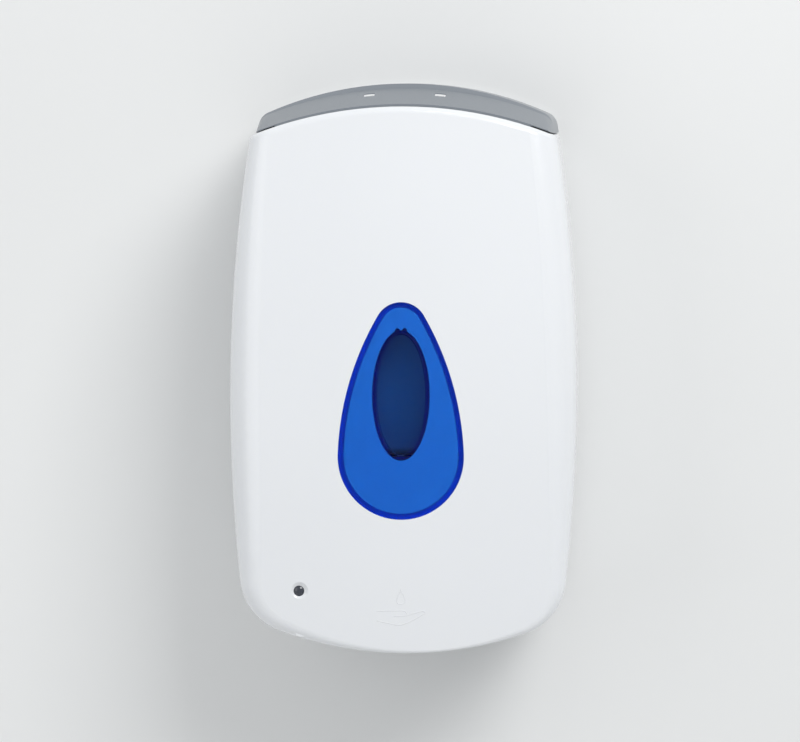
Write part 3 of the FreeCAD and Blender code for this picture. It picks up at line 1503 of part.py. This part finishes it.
def upright_box(x, y_low, y_high, z_low, z_high, radius):
    """A box symmetrical about x = 0 with its four upright edges rounded."""
    box = slab(-x, x, y_low, y_high, z_low, z_high)
    uprights = [e for e in box.Edges if e.BoundBox.ZLength > 0.5 * (z_high - z_low)]
    return box.makeFillet(radius, uprights)


def reservoir_front():
    return -v.reservoir_reach


def reservoir():
    wall = v.reservoir_wall
    half = v.reservoir_width / 2
    back = -v.reservoir_back
    body = upright_box(half, reservoir_front(), back, v.reservoir_low, v.reservoir_top, v.reservoir_round)
    bottom = [e for e in body.Edges if e.BoundBox.ZMax < v.reservoir_low + 0.1]
    body = body.makeFillet(4, bottom)
    room = upright_box(half - wall, reservoir_front() + wall, back - wall, v.reservoir_low + wall,
                       v.reservoir_top - wall, v.reservoir_round - wall)
    room_bottom = [e for e in room.Edges if e.BoundBox.ZMax < v.reservoir_low + wall + 0.1]
    room = room.makeFillet(3, room_bottom)
    neck = round_bar(v.neck_radius, Vector(0, v.pump_y, v.reservoir_low + 1),
                     Vector(0, v.pump_y, v.reservoir_low - v.neck_length))
    body = body.fuse(neck).cut(room)
    body = body.cut(round_bar(v.neck_bore, Vector(0, v.pump_y, v.reservoir_low + 5),
                              Vector(0, v.pump_y, v.reservoir_low - v.neck_length - 1)))
    middle = (reservoir_front() + back) / 2
    fill = upright_box(v.fill_width / 2, middle - v.fill_depth / 2, middle + v.fill_depth / 2,
                       v.reservoir_top - wall - 1, v.reservoir_top + 1, 8)
    return body.cut(fill).removeSplitter()


def fill_box(grow, low, high, radius):
    """A block over the reservoir's filling mouth, grown all round."""
    middle = (reservoir_front() - v.reservoir_back) / 2
    half_depth = v.fill_depth / 2 + grow
    return upright_box(v.fill_width / 2 + grow, middle - half_depth, middle + half_depth, low, high, radius)


def reservoir_lid():
    low = v.reservoir_top + v.seal_thickness
    cap = fill_box(v.fill_lip, low, low + v.lid_thickness, 8 + v.fill_lip)
    plug = fill_box(-0.4, v.reservoir_top - v.fill_lip, low, 7.6)
    inside = fill_box(-v.reservoir_wall, v.reservoir_top - v.fill_lip - 1, low, 6)
    return cap.fuse(plug.cut(inside)).removeSplitter()


def lid_seal():
    low = v.reservoir_top
    outer = fill_box(v.reservoir_wall, low, low + v.seal_thickness, 10)
    hole = fill_box(-v.slide_clearance, low - 1, low + 2, 7.7)
    return outer.cut(hole).removeSplitter()


def outlet_nut():
    """Ribbed nut on the reservoir's neck, with a nipple for the tube."""
    top = Vector(0, v.pump_y, v.reservoir_low - 0.5)
    low = Vector(0, v.pump_y, v.nut_low)
    nut = round_bar(v.nut_radius, low, top)
    nut = nut.cut(round_bar(v.neck_radius, Vector(0, v.pump_y, v.reservoir_low - v.neck_length), top))
    ribs = 12
    for number in range(ribs):
        angle = 2 * math.pi * number / ribs
        centre = low + Vector(v.nut_radius * math.cos(angle), v.nut_radius * math.sin(angle), -1)
        nut = nut.cut(round_bar(0.9, centre, centre + Vector(0, 0, v.nut_height + 2)))
    nipple = round_bar(v.tube_bore, low + Vector(0, 0, 1), low - Vector(0, 0, v.nipple_length))
    nut = nut.fuse(nipple)
    bore = round_bar(v.tube_bore / 2, low + Vector(0, 0, 4), low - Vector(0, 0, v.nipple_length + 1))
    return nut.cut(bore).removeSplitter()


def nozzle():
    low = Vector(0, v.pump_y, v.base_z + 0.6)
    end = Vector(0, v.pump_y, nozzle_top())
    seat = Vector(0, v.pump_y, v.base_z + v.base_inset + 2 * v.housing_wall + 0.2)
    body = round_bar(v.nozzle_radius, low, end + Vector(0, 0, 2))
    flange = round_bar(v.nozzle_flange_radius, seat, seat + Vector(0, 0, v.nozzle_flange_thickness))
    socket = round_bar(v.tube_radius, end, end + Vector(0, 0, 3))
    bore = round_bar(v.tube_bore, low - Vector(0, 0, 1), end + Vector(0, 0, 1))
    body = body.fuse(flange).cut(socket).cut(bore)
    around = 2 * math.pi * (v.nozzle_radius - 0.5)
    lip = [e for e in body.Edges if e.BoundBox.ZMax < low.z + 0.1 and e.Length > around]
    return body.makeChamfer(1.0, lip).removeSplitter()


# --- electronics ------------------------------------------------------------------------------

def control_board():
    front = v.board_y - v.board_thickness
    board = slab(v.board_left, v.board_right, front, v.board_y, v.board_z, v.board_z + v.board_height)
    for place in board_post_places():
        board = board.cut(round_bar(v.small_screw_radius + v.fixed_clearance, place + Vector(0, 1, 0),
                                    place - Vector(0, 3, 0)))
    return board


def sensor_board():
    return block("sensor_board", ("0 - sensor_board_half_width", "sensor_board_half_width"),
                 ("sensor_y - sensor_board_half_depth", "sensor_y + sensor_board_half_depth"),
                 ("sensor_board_low", "sensor_board_low + board_thickness"))


def ir_emitter():
    return diode(-v.diode_spacing / 2)


def ir_receiver():
    return diode(v.diode_spacing / 2)


def reduction_axle():
    return rod("reduction_axle", "y", "axle_radius", ("reduction_x", "axle_end", "reduction_z"),
               "web_back - axle_end")


def board_components():
    """Chips and capacitors on the front of the control board."""
    front = v.board_y - v.board_thickness
    x = v.board_left + v.board_width / 2
    made = [
        slab(x - 5, x + 5, front - 1.6, front, v.board_z + 6, v.board_z + 16),
        slab(x - 3, x + 3, front - 1.4, front, v.board_z + 20, v.board_z + 25),
        slab(x - 6.5, x - 3.5, front - 3.0, front, v.board_z + 44, v.board_z + 49),
    ]
    for number in range(2):
        z = v.board_z + 21 + 7 * number
        made.append(round_bar(2, Vector(x + 5.5, front, z), Vector(x + 5.5, front - 5, z)))
    return made


def switch_body():
    body = block("switch_case", ("switch_x - switch_half_width", "switch_x + switch_half_width"),
                 ("board_front - 5", "board_front"), ("switch_z - switch_length", "switch_z + switch_length"))
    track = block("switch_track",
                  ("switch_x - knob_half - slide_clearance", "switch_x + knob_half + slide_clearance"),
                  ("board_front - 6", "board_front - 2.5"),
                  ("switch_z - knob_half - switch_travel - slide_clearance",
                   "switch_z + knob_half + switch_travel + slide_clearance"))
    return cut("switch_body", body, track)


def dose_slider():
    return block("dose_slider", ("switch_x - knob_half", "switch_x + knob_half"),
                 ("housing_front - knob_proud", "board_front - 2.5 - slide_clearance"),
                 ("switch_z - knob_half", "switch_z + knob_half"))


def diode(x):
    top = v.sensor_board_low
    base = Vector(x, v.sensor_y, top)
    body = round_bar(v.diode_radius, base, base - Vector(0, 0, v.diode_height - v.diode_radius))
    tip = Part.makeSphere(v.diode_radius, base - Vector(0, 0, v.diode_height - v.diode_radius))
    return body.fuse(tip).removeSplitter()


def sensor_window():
    """Dark window in the base under the two diodes."""
    return block("sensor_window",
                 ("fixed_clearance - sensor_half_width", "sensor_half_width - fixed_clearance"),
                 ("sensor_y - sensor_half_depth + fixed_clearance",
                  "sensor_y + sensor_half_depth - fixed_clearance"),
                 ("sensor_window_low", "sensor_window_low + sensor_thickness"))


def indicator_led():
    """Light-emitting diode behind the small lens, with a rim behind the face plate's arm."""
    back = Vector(v.indicator_x, v.housing_front + v.face_plate, v.indicator_height)
    centre = Vector(back.x, v.housing_front - 4 + v.diode_radius, back.z)
    body = round_bar(v.diode_radius, back, centre)
    dome = Part.makeSphere(v.diode_radius, centre)
    rim = round_bar(v.diode_radius + 0.5, back, back + Vector(0, 1, 0))
    return body.fuse(dome).fuse(rim).removeSplitter()


# --- assembly ---------------------------------------------------------------------------------

CODED = {
    "back_plate": back_plate,
    "front_cover": front_cover,
    "window_lens": window_lens,
    "indicator_lens": indicator_lens,
    "top_hood": top_hood,
    "latch_bar": latch_bar,
    "key_guide": key_guide,
    "drive_housing": drive_housing,
    "drive_cover": drive_cover,
    "battery_lid": battery_lid,
    "reservoir": reservoir,
    "reservoir_lid": reservoir_lid,
    "lid_seal": lid_seal,
    "outlet_nut": outlet_nut,
    "pump_block": pump_block,
    "pump_tube": pump_tube,
    "pump_rotor": pump_rotor,
    "reduction_gear": reduction_gear,
    "motor_pinion": motor_pinion,
    "nozzle": nozzle,
    "indicator_led": indicator_led,
    "control_board": control_board,
    "ir_emitter": ir_emitter,
    "ir_receiver": ir_receiver,
}
GROUPS = {
    "latch_springs": latch_springs,
    "battery_cells": battery_cells,
    "board_components": board_components,
    "hood_screws": hood_screws,
    "drive_cover_screws": drive_cover_screws,
    "mounting_screws": mounting_screws,
    "board_screws": board_screws,
    "motor_screws": motor_screws,
}

OUTSIDE = rounded_outside()
INSIDE = rounded_inside()

BOUND = (battery_box(), battery_contacts(), dose_slider(), hinge_pins(), motor(), motor_cap(),
         reduction_axle(), sensor_board(), sensor_window(), switch_body(), roller(0), roller(1), roller(2))
for made in BOUND:
    keep(made.Name, made)
for label, make in CODED.items():
    keep(label, coded(label, make()))
for label, make in GROUPS.items():
    keep(label, group(label, make()))
document.recompute()

for made in document.Objects:
    if {"Invalid", "Error"} & set(made.State):
        raise RuntimeError(f"{made.Label} did not build")
for made in nodes:
    if made.Shape.isNull() or not made.Shape.isValid():
        raise RuntimeError(f"{made.Label} has no sound shape")
os.makedirs("parts", exist_ok=True)
for made in nodes:
    made.Shape.exportStep(f"parts/{made.Label}.step")
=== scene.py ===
import json
import math

import bmesh
import bpy
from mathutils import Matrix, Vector


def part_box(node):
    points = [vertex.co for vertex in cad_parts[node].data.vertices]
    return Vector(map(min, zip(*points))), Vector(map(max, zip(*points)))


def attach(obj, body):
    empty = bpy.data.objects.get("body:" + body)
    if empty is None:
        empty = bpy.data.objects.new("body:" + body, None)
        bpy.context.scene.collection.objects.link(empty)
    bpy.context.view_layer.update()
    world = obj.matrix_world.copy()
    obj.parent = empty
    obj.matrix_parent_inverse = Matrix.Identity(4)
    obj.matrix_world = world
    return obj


# A wall mounted touch-free soap dispenser: glossy white cover with a blue drop-shaped window, grey hood.
# Lengths are in metres, in the frame of the CAD model: X to the right, Y into the wall, Z up.

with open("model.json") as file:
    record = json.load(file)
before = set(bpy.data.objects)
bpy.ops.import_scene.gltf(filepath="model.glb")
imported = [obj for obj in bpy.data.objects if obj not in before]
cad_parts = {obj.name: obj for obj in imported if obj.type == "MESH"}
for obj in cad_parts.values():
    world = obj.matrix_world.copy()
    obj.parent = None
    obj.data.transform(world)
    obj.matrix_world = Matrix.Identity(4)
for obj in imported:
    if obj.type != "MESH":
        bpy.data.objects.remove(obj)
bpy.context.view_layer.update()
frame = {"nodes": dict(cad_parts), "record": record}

MM = 0.001
RIGHT = Vector((1, 0, 0))
INWARD = Vector((0, 1, 0))
UP = Vector((0, 0, 1))


def set_inputs(node, values):
    """Set the inputs of a shader node, each by its name."""
    for name, value in values.items():
        node.inputs[name].default_value = value


def mesh_object(name, shape, material):
    """Turn a finished bmesh into an object of one material."""
    mesh = bpy.data.meshes.new(name)
    shape.to_mesh(mesh)
    shape.free()
    mesh.materials.append(material)
    thing = bpy.data.objects.new(name, mesh)
    bpy.context.scene.collection.objects.link(thing)
    return thing


# --- materials --------------------------------------------------------------------------------

RAMP_ENDS = (0.3, 0.7)
FINE_GRAIN = 900.0
FINE_DEPTH = 0.02 * MM
PLASTIC_GLOSS = (0.85, 1.15)
METAL_GLOSS = (0.8, 1.25)


class Nodes:
    """The shader nodes of one material, starting from its output."""

    def __init__(self, material):
        self.tree = material.node_tree
        self.tree.nodes.clear()
        self.output = self.add("ShaderNodeOutputMaterial")

    def add(self, kind):
        return self.tree.nodes.new(kind)

    def link(self, source, target):
        self.tree.links.new(source, target)


def shader(name, color, roughness, finish):
    """A material with a surface shader. The finish holds more of the shader's inputs by name."""
    material = bpy.data.materials.new(name)
    material.use_nodes = True
    nodes = Nodes(material)
    surface = nodes.add("ShaderNodeBsdfPrincipled")
    set_inputs(surface, {"Base Color": (*color, 1), "Roughness": roughness, **finish})
    nodes.link(surface.outputs["BSDF"], nodes.output.inputs["Surface"])
    return material, nodes, surface


def shade(color, share):
    """The colour made darker or lighter by a share."""
    return tuple(min(1.0, part * share) for part in color)


def object_noise(nodes, scale, detail, roughness=0.5):
    """Noise that stays fixed to the object. The scale is in waves per metre."""
    place = nodes.add("ShaderNodeTexCoord")
    noise = nodes.add("ShaderNodeTexNoise")
    set_inputs(noise, {"Scale": scale, "Detail": detail, "Roughness": roughness})
    nodes.link(place.outputs["Object"], noise.inputs["Vector"])
    return noise


def vary_color(nodes, surface, noise, low, high):
    """Let the colour wander between two colours."""
    ramp = nodes.add("ShaderNodeValToRGB")
    for element, position, color in zip(ramp.color_ramp.elements, RAMP_ENDS, (low, high)):
        element.position = position
        element.color = (*color, 1)
    nodes.link(noise.outputs["Fac"], ramp.inputs["Fac"])
    nodes.link(ramp.outputs["Color"], surface.inputs["Base Color"])


def vary_roughness(nodes, surface, noise, low, high):
    """Let the roughness wander between two values."""
    span = nodes.add("ShaderNodeMapRange")
    set_inputs(span, {"To Min": low, "To Max": high})
    nodes.link(noise.outputs["Fac"], span.inputs["Value"])
    nodes.link(span.outputs["Result"], surface.inputs["Roughness"])


def bump(nodes, surface, noise, strength, depth):
    """Raise the surface by the noise."""
    node = nodes.add("ShaderNodeBump")
    set_inputs(node, {"Strength": strength, "Distance": depth})
    nodes.link(noise.outputs["Fac"], node.inputs["Height"])
    nodes.link(node.outputs["Normal"], surface.inputs["Normal"])


def plastic(name, color, roughness, spread, grain=FINE_GRAIN, depth=FINE_DEPTH, coat=0.0):
    """Moulded plastic: slight mottling of colour and gloss, and a fine surface grain."""
    finish = {"Coat Weight": coat, "Coat Roughness": 0.04}
    material, nodes, surface = shader(name, color, roughness, finish)
    mottle = object_noise(nodes, scale=14.0, detail=2.0)
    vary_color(nodes, surface, mottle, shade(color, 1 - spread), shade(color, 1 + spread))
    fine = object_noise(nodes, scale=grain, detail=2.0)
    low, high = (roughness * share for share in PLASTIC_GLOSS)
    vary_roughness(nodes, surface, fine, low, high)
    bump(nodes, surface, fine, strength=0.3, depth=depth)
    return material


def cover_white():
    """Glossy white moulding: almost even, with a very slow ripple that only shows in reflections."""
    finish = {
        "Coat Weight": 0.35,
        "Coat Roughness": 0.06,
        "Subsurface Weight": 0.05,
        "Subsurface Radius": (4 * MM, 4 * MM, 5 * MM),
    }
    material, nodes, surface = shader("cover_white", (0.80, 0.815, 0.835), 0.22, finish)
    mottle = object_noise(nodes, scale=9.0, detail=1.0)
    vary_color(nodes, surface, mottle, low=(0.795, 0.81, 0.83), high=(0.81, 0.825, 0.845))
    ripple = object_noise(nodes, scale=22.0, detail=1.0)
    bump(nodes, surface, ripple, strength=0.12, depth=0.2 * MM)
    return material


def hood_grey():
    """Satin grey moulding, with a finer grain than the other plastics."""
    return plastic("hood_grey", (0.20, 0.22, 0.245), 0.36, spread=0.02,
                   grain=1500.0, depth=0.01 * MM, coat=0.12)


def lens_blue():
    """Clear blue acrylic: polished faces, and a body that takes out red most and then green."""
    finish = {"Transmission Weight": 1.0, "IOR": 1.25}
    material, nodes, surface = shader("lens_blue", (0.97, 0.98, 1.0), 0.03, finish)
    slow = object_noise(nodes, scale=30.0, detail=1.0)
    vary_color(nodes, surface, slow, low=(0.96, 0.97, 0.99), high=(0.98, 0.99, 1.0))
    vary_roughness(nodes, surface, slow, low=0.02, high=0.04)
    body = nodes.add("ShaderNodeVolumeAbsorption")
    set_inputs(body, {"Color": (0.0, 0.64, 0.995, 1), "Density": 900.0})
    nodes.link(body.outputs["Volume"], nodes.output.inputs["Volume"])
    return material


def smoke(name, color):
    """A deep-coloured lens that lets no light through, under a clear coat."""
    material, nodes, surface = shader(name, color, 0.08, {"Coat Weight": 0.6})
    slow = object_noise(nodes, scale=80.0, detail=1.0)
    vary_color(nodes, surface, slow, low=shade(color, 0.9), high=shade(color, 1.1))
    return material


def translucent(name, color, roughness, weight):
    """Milky plastic or silicone. The weight is the share of light that goes through."""
    finish = {"Transmission Weight": weight, "IOR": 1.5}
    material, nodes, surface = shader(name, color, roughness, finish)
    slow = object_noise(nodes, scale=25.0, detail=2.0)
    vary_color(nodes, surface, slow, low=shade(color, 0.97), high=color)
    fine = object_noise(nodes, scale=700.0, detail=2.0)
    bump(nodes, surface, fine, strength=0.2, depth=FINE_DEPTH)
    return material


def metal(name, color, roughness):
    """Bare metal with fine scratches."""
    material, nodes, surface = shader(name, color, roughness, {"Metallic": 1.0})
    scratches = object_noise(nodes, scale=300.0, detail=4.0, roughness=0.7)
    vary_color(nodes, surface, scratches, low=shade(color, 0.9), high=color)
    low, high = (roughness * share for share in METAL_GLOSS)
    vary_roughness(nodes, surface, scratches, low, high)
    return material


def matt_paint(name, color):
    """Wall paint, a very little uneven."""
    material, nodes, surface = shader(name, color, 0.8, {})
    slow = object_noise(nodes, scale=3.0, detail=2.0)
    unevenness = 0.01
    low = tuple(part - unevenness for part in color)
    high = tuple(part + unevenness for part in color)
    vary_color(nodes, surface, slow, low, high)
    return material


MATERIALS = {
    "cover_white": cover_white(),
    "lens_blue": lens_blue(),
    "smoke_lens": smoke("smoke_lens", (0.03, 0.035, 0.05)),
    "hood_grey": hood_grey(),
    "frame_white": plastic("frame_white", (0.74, 0.75, 0.76), 0.5, spread=0.02),
    "latch_white": plastic("latch_white", (0.85, 0.85, 0.85), 0.35, spread=0.01),
    "spring_steel": metal("spring_steel", (0.7, 0.7, 0.7), 0.25),
    "pin_steel": metal("pin_steel", (0.55, 0.56, 0.58), 0.3),
    "pin_brass": metal("pin_brass", (0.75, 0.55, 0.25), 0.3),
    "reservoir_clear": translucent("reservoir_clear", (0.82, 0.86, 0.9), 0.35, 0.6),
    "lid_white": plastic("lid_white", (0.78, 0.79, 0.8), 0.4, spread=0.02),
    "seal_rubber": plastic("seal_rubber", (0.04, 0.04, 0.045), 0.7, spread=0.1),
    "nut_blue": plastic("nut_blue", (0.02, 0.12, 0.4), 0.4, spread=0.05),
    "housing_grey": plastic("housing_grey", (0.45, 0.47, 0.49), 0.5, spread=0.02),
    "battery_black": plastic("battery_black", (0.02, 0.02, 0.022), 0.5, spread=0.1),
    "cell_wrap": plastic("cell_wrap", (0.03, 0.13, 0.06), 0.3, spread=0.05, coat=0.5),
    "pump_white": plastic("pump_white", (0.7, 0.71, 0.72), 0.4, spread=0.02),
    "tube_silicone": translucent("tube_silicone", (0.85, 0.87, 0.88), 0.4, 0.5),
    "gear_white": plastic("gear_white", (0.75, 0.73, 0.66), 0.4, spread=0.02),
    "roller_black": plastic("roller_black", (0.03, 0.03, 0.035), 0.4, spread=0.1),
    "motor_steel": metal("motor_steel", (0.62, 0.62, 0.63), 0.35),
    "nozzle_white": plastic("nozzle_white", (0.76, 0.77, 0.78), 0.35, spread=0.02),
    "led_red": smoke("led_red", (0.4, 0.03, 0.02)),
    "diode_clear": translucent("diode_clear", (0.8, 0.83, 0.88), 0.1, 0.8),
    "board_green": plastic("board_green", (0.01, 0.1, 0.04), 0.35, spread=0.15, coat=0.3),
}


def paint_parts():
    """Give each CAD part the material that it is made of."""
    for part in frame["record"]["subparts"]:
        for slot in frame["nodes"][part["node"]].material_slots:
            slot.material = MATERIALS[part["material_slot"]]


# --- the raised sign under the window: a drop falling into an open hand ---------------------------

COVER_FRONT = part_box("window_lens")[0].y
WINDOW_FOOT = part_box("window_lens")[0].z

# the cover's face bulges most at one height, with one radius up the face and another across it
CROWN_HEIGHT = -45 * MM
CROWN_RADIUS_UP = 1.0
CROWN_RADIUS_ACROSS = 0.7

BEAD_RADIUS = 0.22 * MM
BEAD_FLATNESS = 0.7
BEAD_SIDES = 8
LINE_STEPS = 10

DROP_BELOW_WINDOW = 36.8 * MM
DROP_HALF_WIDTH = 3.0 * MM
DROP_HALF_HEIGHT = 3.6 * MM
DROP_POINTS = 48

# corners of the hand's two lines in millimetres, across the face and up from the hand's lowest point
HAND_BELOW_WINDOW = 50.5 * MM
THUMB = [(-11.4, 6.7), (-5.5, 6.9), (0.9, 7.0), (2.2, 6.5), (2.8, 5.4)]
PALM = [(-3.1, 4.2), (2.1, 4.6), (5.8, 5.6), (9.7, 6.7), (11.1, 6.6), (11.3, 5.8), (8.0, 3.8), (3.5, 1.4),
        (-0.7, 0.0), (-4.2, 0.5), (-11.3, 2.1)]


def sagitta(radius, offset):
    """How far an arc falls back at an offset from its middle."""
    return radius - math.sqrt(radius ** 2 - offset ** 2)


def face_point(x, z):
    """The point of the cover's crowned face at x and z."""
    fall_up = sagitta(CROWN_RADIUS_UP, z - CROWN_HEIGHT)
    fall_across = sagitta(CROWN_RADIUS_ACROSS, x)
    return Vector((x, COVER_FRONT + fall_up + fall_across, z))


def smooth_line(corners):
    """A Catmull-Rom line through the corners."""
    padded = [corners[0], *corners, corners[-1]]
    line = []
    for before, start, end, after in zip(padded, padded[1:], padded[2:], padded[3:]):
        slope = end - before
        bend = 2 * before - 5 * start + 4 * end - after
        twist = 3 * start - before - 3 * end + after
        for step in range(LINE_STEPS):
            t = step / LINE_STEPS
            line.append(0.5 * (2 * start + slope * t + bend * t ** 2 + twist * t ** 3))
    line.append(corners[-1])
    return line


def neighbours(line, index, closed):
    """The points before and after one point. Past an open end it is the end itself."""
    before = line[index - 1] if index or closed else line[index]
    after = line[(index + 1) % len(line)] if index + 1 < len(line) or closed else line[index]
    return before, after


def bead_ring(shape, line, index, closed):
    """A ring of vertices around one point of a line, flattened against the face."""
    (x_before, z_before), (x_after, z_after) = neighbours(line, index, closed)
    run = Vector((x_after - x_before, 0, z_after - z_before)).normalized()
    aside = Vector((run.z, 0, -run.x))
    middle = face_point(*line[index])
    ring = []
    for side in range(BEAD_SIDES):
        angle = 2 * math.pi * side / BEAD_SIDES
        out = Vector((0, math.sin(angle) * BEAD_RADIUS * BEAD_FLATNESS, 0))
        ring.append(shape.verts.new(middle + (aside * (math.cos(angle) * BEAD_RADIUS) + out)))
    return ring


def stroke(name, line, closed):
    """A thin half-sunk bead along a line on the cover's face."""
    shape = bmesh.new()
    rings = [bead_ring(shape, line, index, closed) for index in range(len(line))]
    following_rings = rings[1:] + rings[:1] if closed else rings[1:]
    for ring, following in zip(rings, following_rings):
        for side in range(BEAD_SIDES):
            after = (side + 1) % BEAD_SIDES
            shape.faces.new((ring[side], ring[after], following[after], following[side]))
    if not closed:
        shape.faces.new(rings[0])
        shape.faces.new(list(reversed(rings[-1])))
    bmesh.ops.recalc_face_normals(shape, faces=shape.faces)
    thing = mesh_object(name, shape, MATERIALS["cover_white"])
    for face in thing.data.polygons:
        face.use_smooth = True
    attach(thing, "cover")


def drop_line():
    """The outline of a drop, pointed at the top and round at the bottom."""
    middle_z = WINDOW_FOOT - DROP_BELOW_WINDOW
    line = []
    for step in range(DROP_POINTS):
        turn = 2 * math.pi * step / DROP_POINTS
        x = DROP_HALF_WIDTH * math.sin(turn) * math.sin(turn / 2) ** 2
        line.append((x, middle_z + DROP_HALF_HEIGHT * math.cos(turn)))
    return line


def hand_line(corners):
    """One smooth line of the hand, placed under the window."""
    low_z = WINDOW_FOOT - HAND_BELOW_WINDOW
    points = [Vector((x * MM, low_z + z * MM)) for x, z in corners]
    return [tuple(point) for point in smooth_line(points)]


def sign():
    """The drop over the hand."""
    stroke("sign_drop", drop_line(), closed=True)
    stroke("sign_thumb", hand_line(THUMB), closed=False)
    stroke("sign_palm", hand_line(PALM), closed=False)


# --- the room: a pale wall behind, a pale floor below, soft light from the upper right ---------

ROOM_SIZE = 6
WALL_GAP = 0.5 * MM
FLOOR_HEIGHT = -1.2
AIR_COLOR = (0.93, 0.95, 0.97, 1)


def plane(name, centre, across, up, material):
    """A square of the room's size around its centre, spread along two directions."""
    half = ROOM_SIZE / 2
    shape = bmesh.new()
    corners = []
    for i, j in ((-1, -1), (1, -1), (1, 1), (-1, 1)):
        corners.append(shape.verts.new(centre + across * (i * half) + up * (j * half)))
    shape.faces.new(corners)
    thing = mesh_object(name, shape, material)


def studio():
    """The wall that the dispenser hangs on, and the floor under it."""
    plane("wall", WALL_GAP * INWARD, RIGHT, UP, matt_paint("wall_paint", (0.80, 0.805, 0.80)))
    plane("floor", FLOOR_HEIGHT * UP, RIGHT, INWARD, matt_paint("floor_paint", (0.75, 0.75, 0.75)))


def soft_light(name, place, target, size, power):
    """A rectangular light at a place, turned towards a target. The size is its width and height."""
    data = bpy.data.lights.new(name, "AREA")
    data.shape = "RECTANGLE"
    data.size, data.size_y = size
    data.energy = power
    lamp = bpy.data.objects.new(name, data)
    lamp.location = place
    aim = Vector(target) - Vector(place)
    lamp.rotation_mode = "QUATERNION"
    lamp.rotation_quaternion = aim.to_track_quat("-Z", "Y")
    bpy.context.scene.collection.objects.link(lamp)


def lights():
    """A large key light, a weak fill from the left, a small strip from above, and even light all round."""
    soft_light("key", place=(0.9, -1.5, 1.3), target=(0, 0, 0), size=(1.0, 1.0), power=24)
    soft_light("fill", place=(-1.4, -1.4, 0.3), target=(0, 0, 0), size=(1.4, 1.6), power=6)
    soft_light("strip", place=(0.09, -0.9, 1.3), target=(0, 0, 0.1), size=(0.2, 0.35), power=0.7)
    world = bpy.data.worlds.new("studio_air")
    world.use_nodes = True
    set_inputs(world.node_tree.nodes["Background"], {"Color": AIR_COLOR, "Strength": 0.6})
    bpy.context.scene.world = world


def camera():
    """The view from the front, a little from the right and from above."""
    azimuth = math.radians(3.0)
    elevation = math.radians(4.23)
    distance = 1.9
    view_width = 0.3894
    sensor_width = 36
    aim = Vector((-0.0037, -0.05, -0.0058))
    level = math.cos(elevation)
    back = Vector((math.sin(azimuth) * level, -math.cos(azimuth) * level, math.sin(elevation)))
    data = bpy.data.cameras.new("camera")
    data.sensor_width = sensor_width
    data.lens = sensor_width * distance / view_width
    thing = bpy.data.objects.new("camera", data)
    thing.location = aim + back * distance
    thing.rotation_mode = "QUATERNION"
    thing.rotation_quaternion = (-back).to_track_quat("-Z", "Y")
    bpy.context.scene.collection.objects.link(thing)
    bpy.context.scene.camera = thing


paint_parts()
sign()
studio()
lights()
camera()

bpy.context.scene.view_settings.view_transform = "Standard"
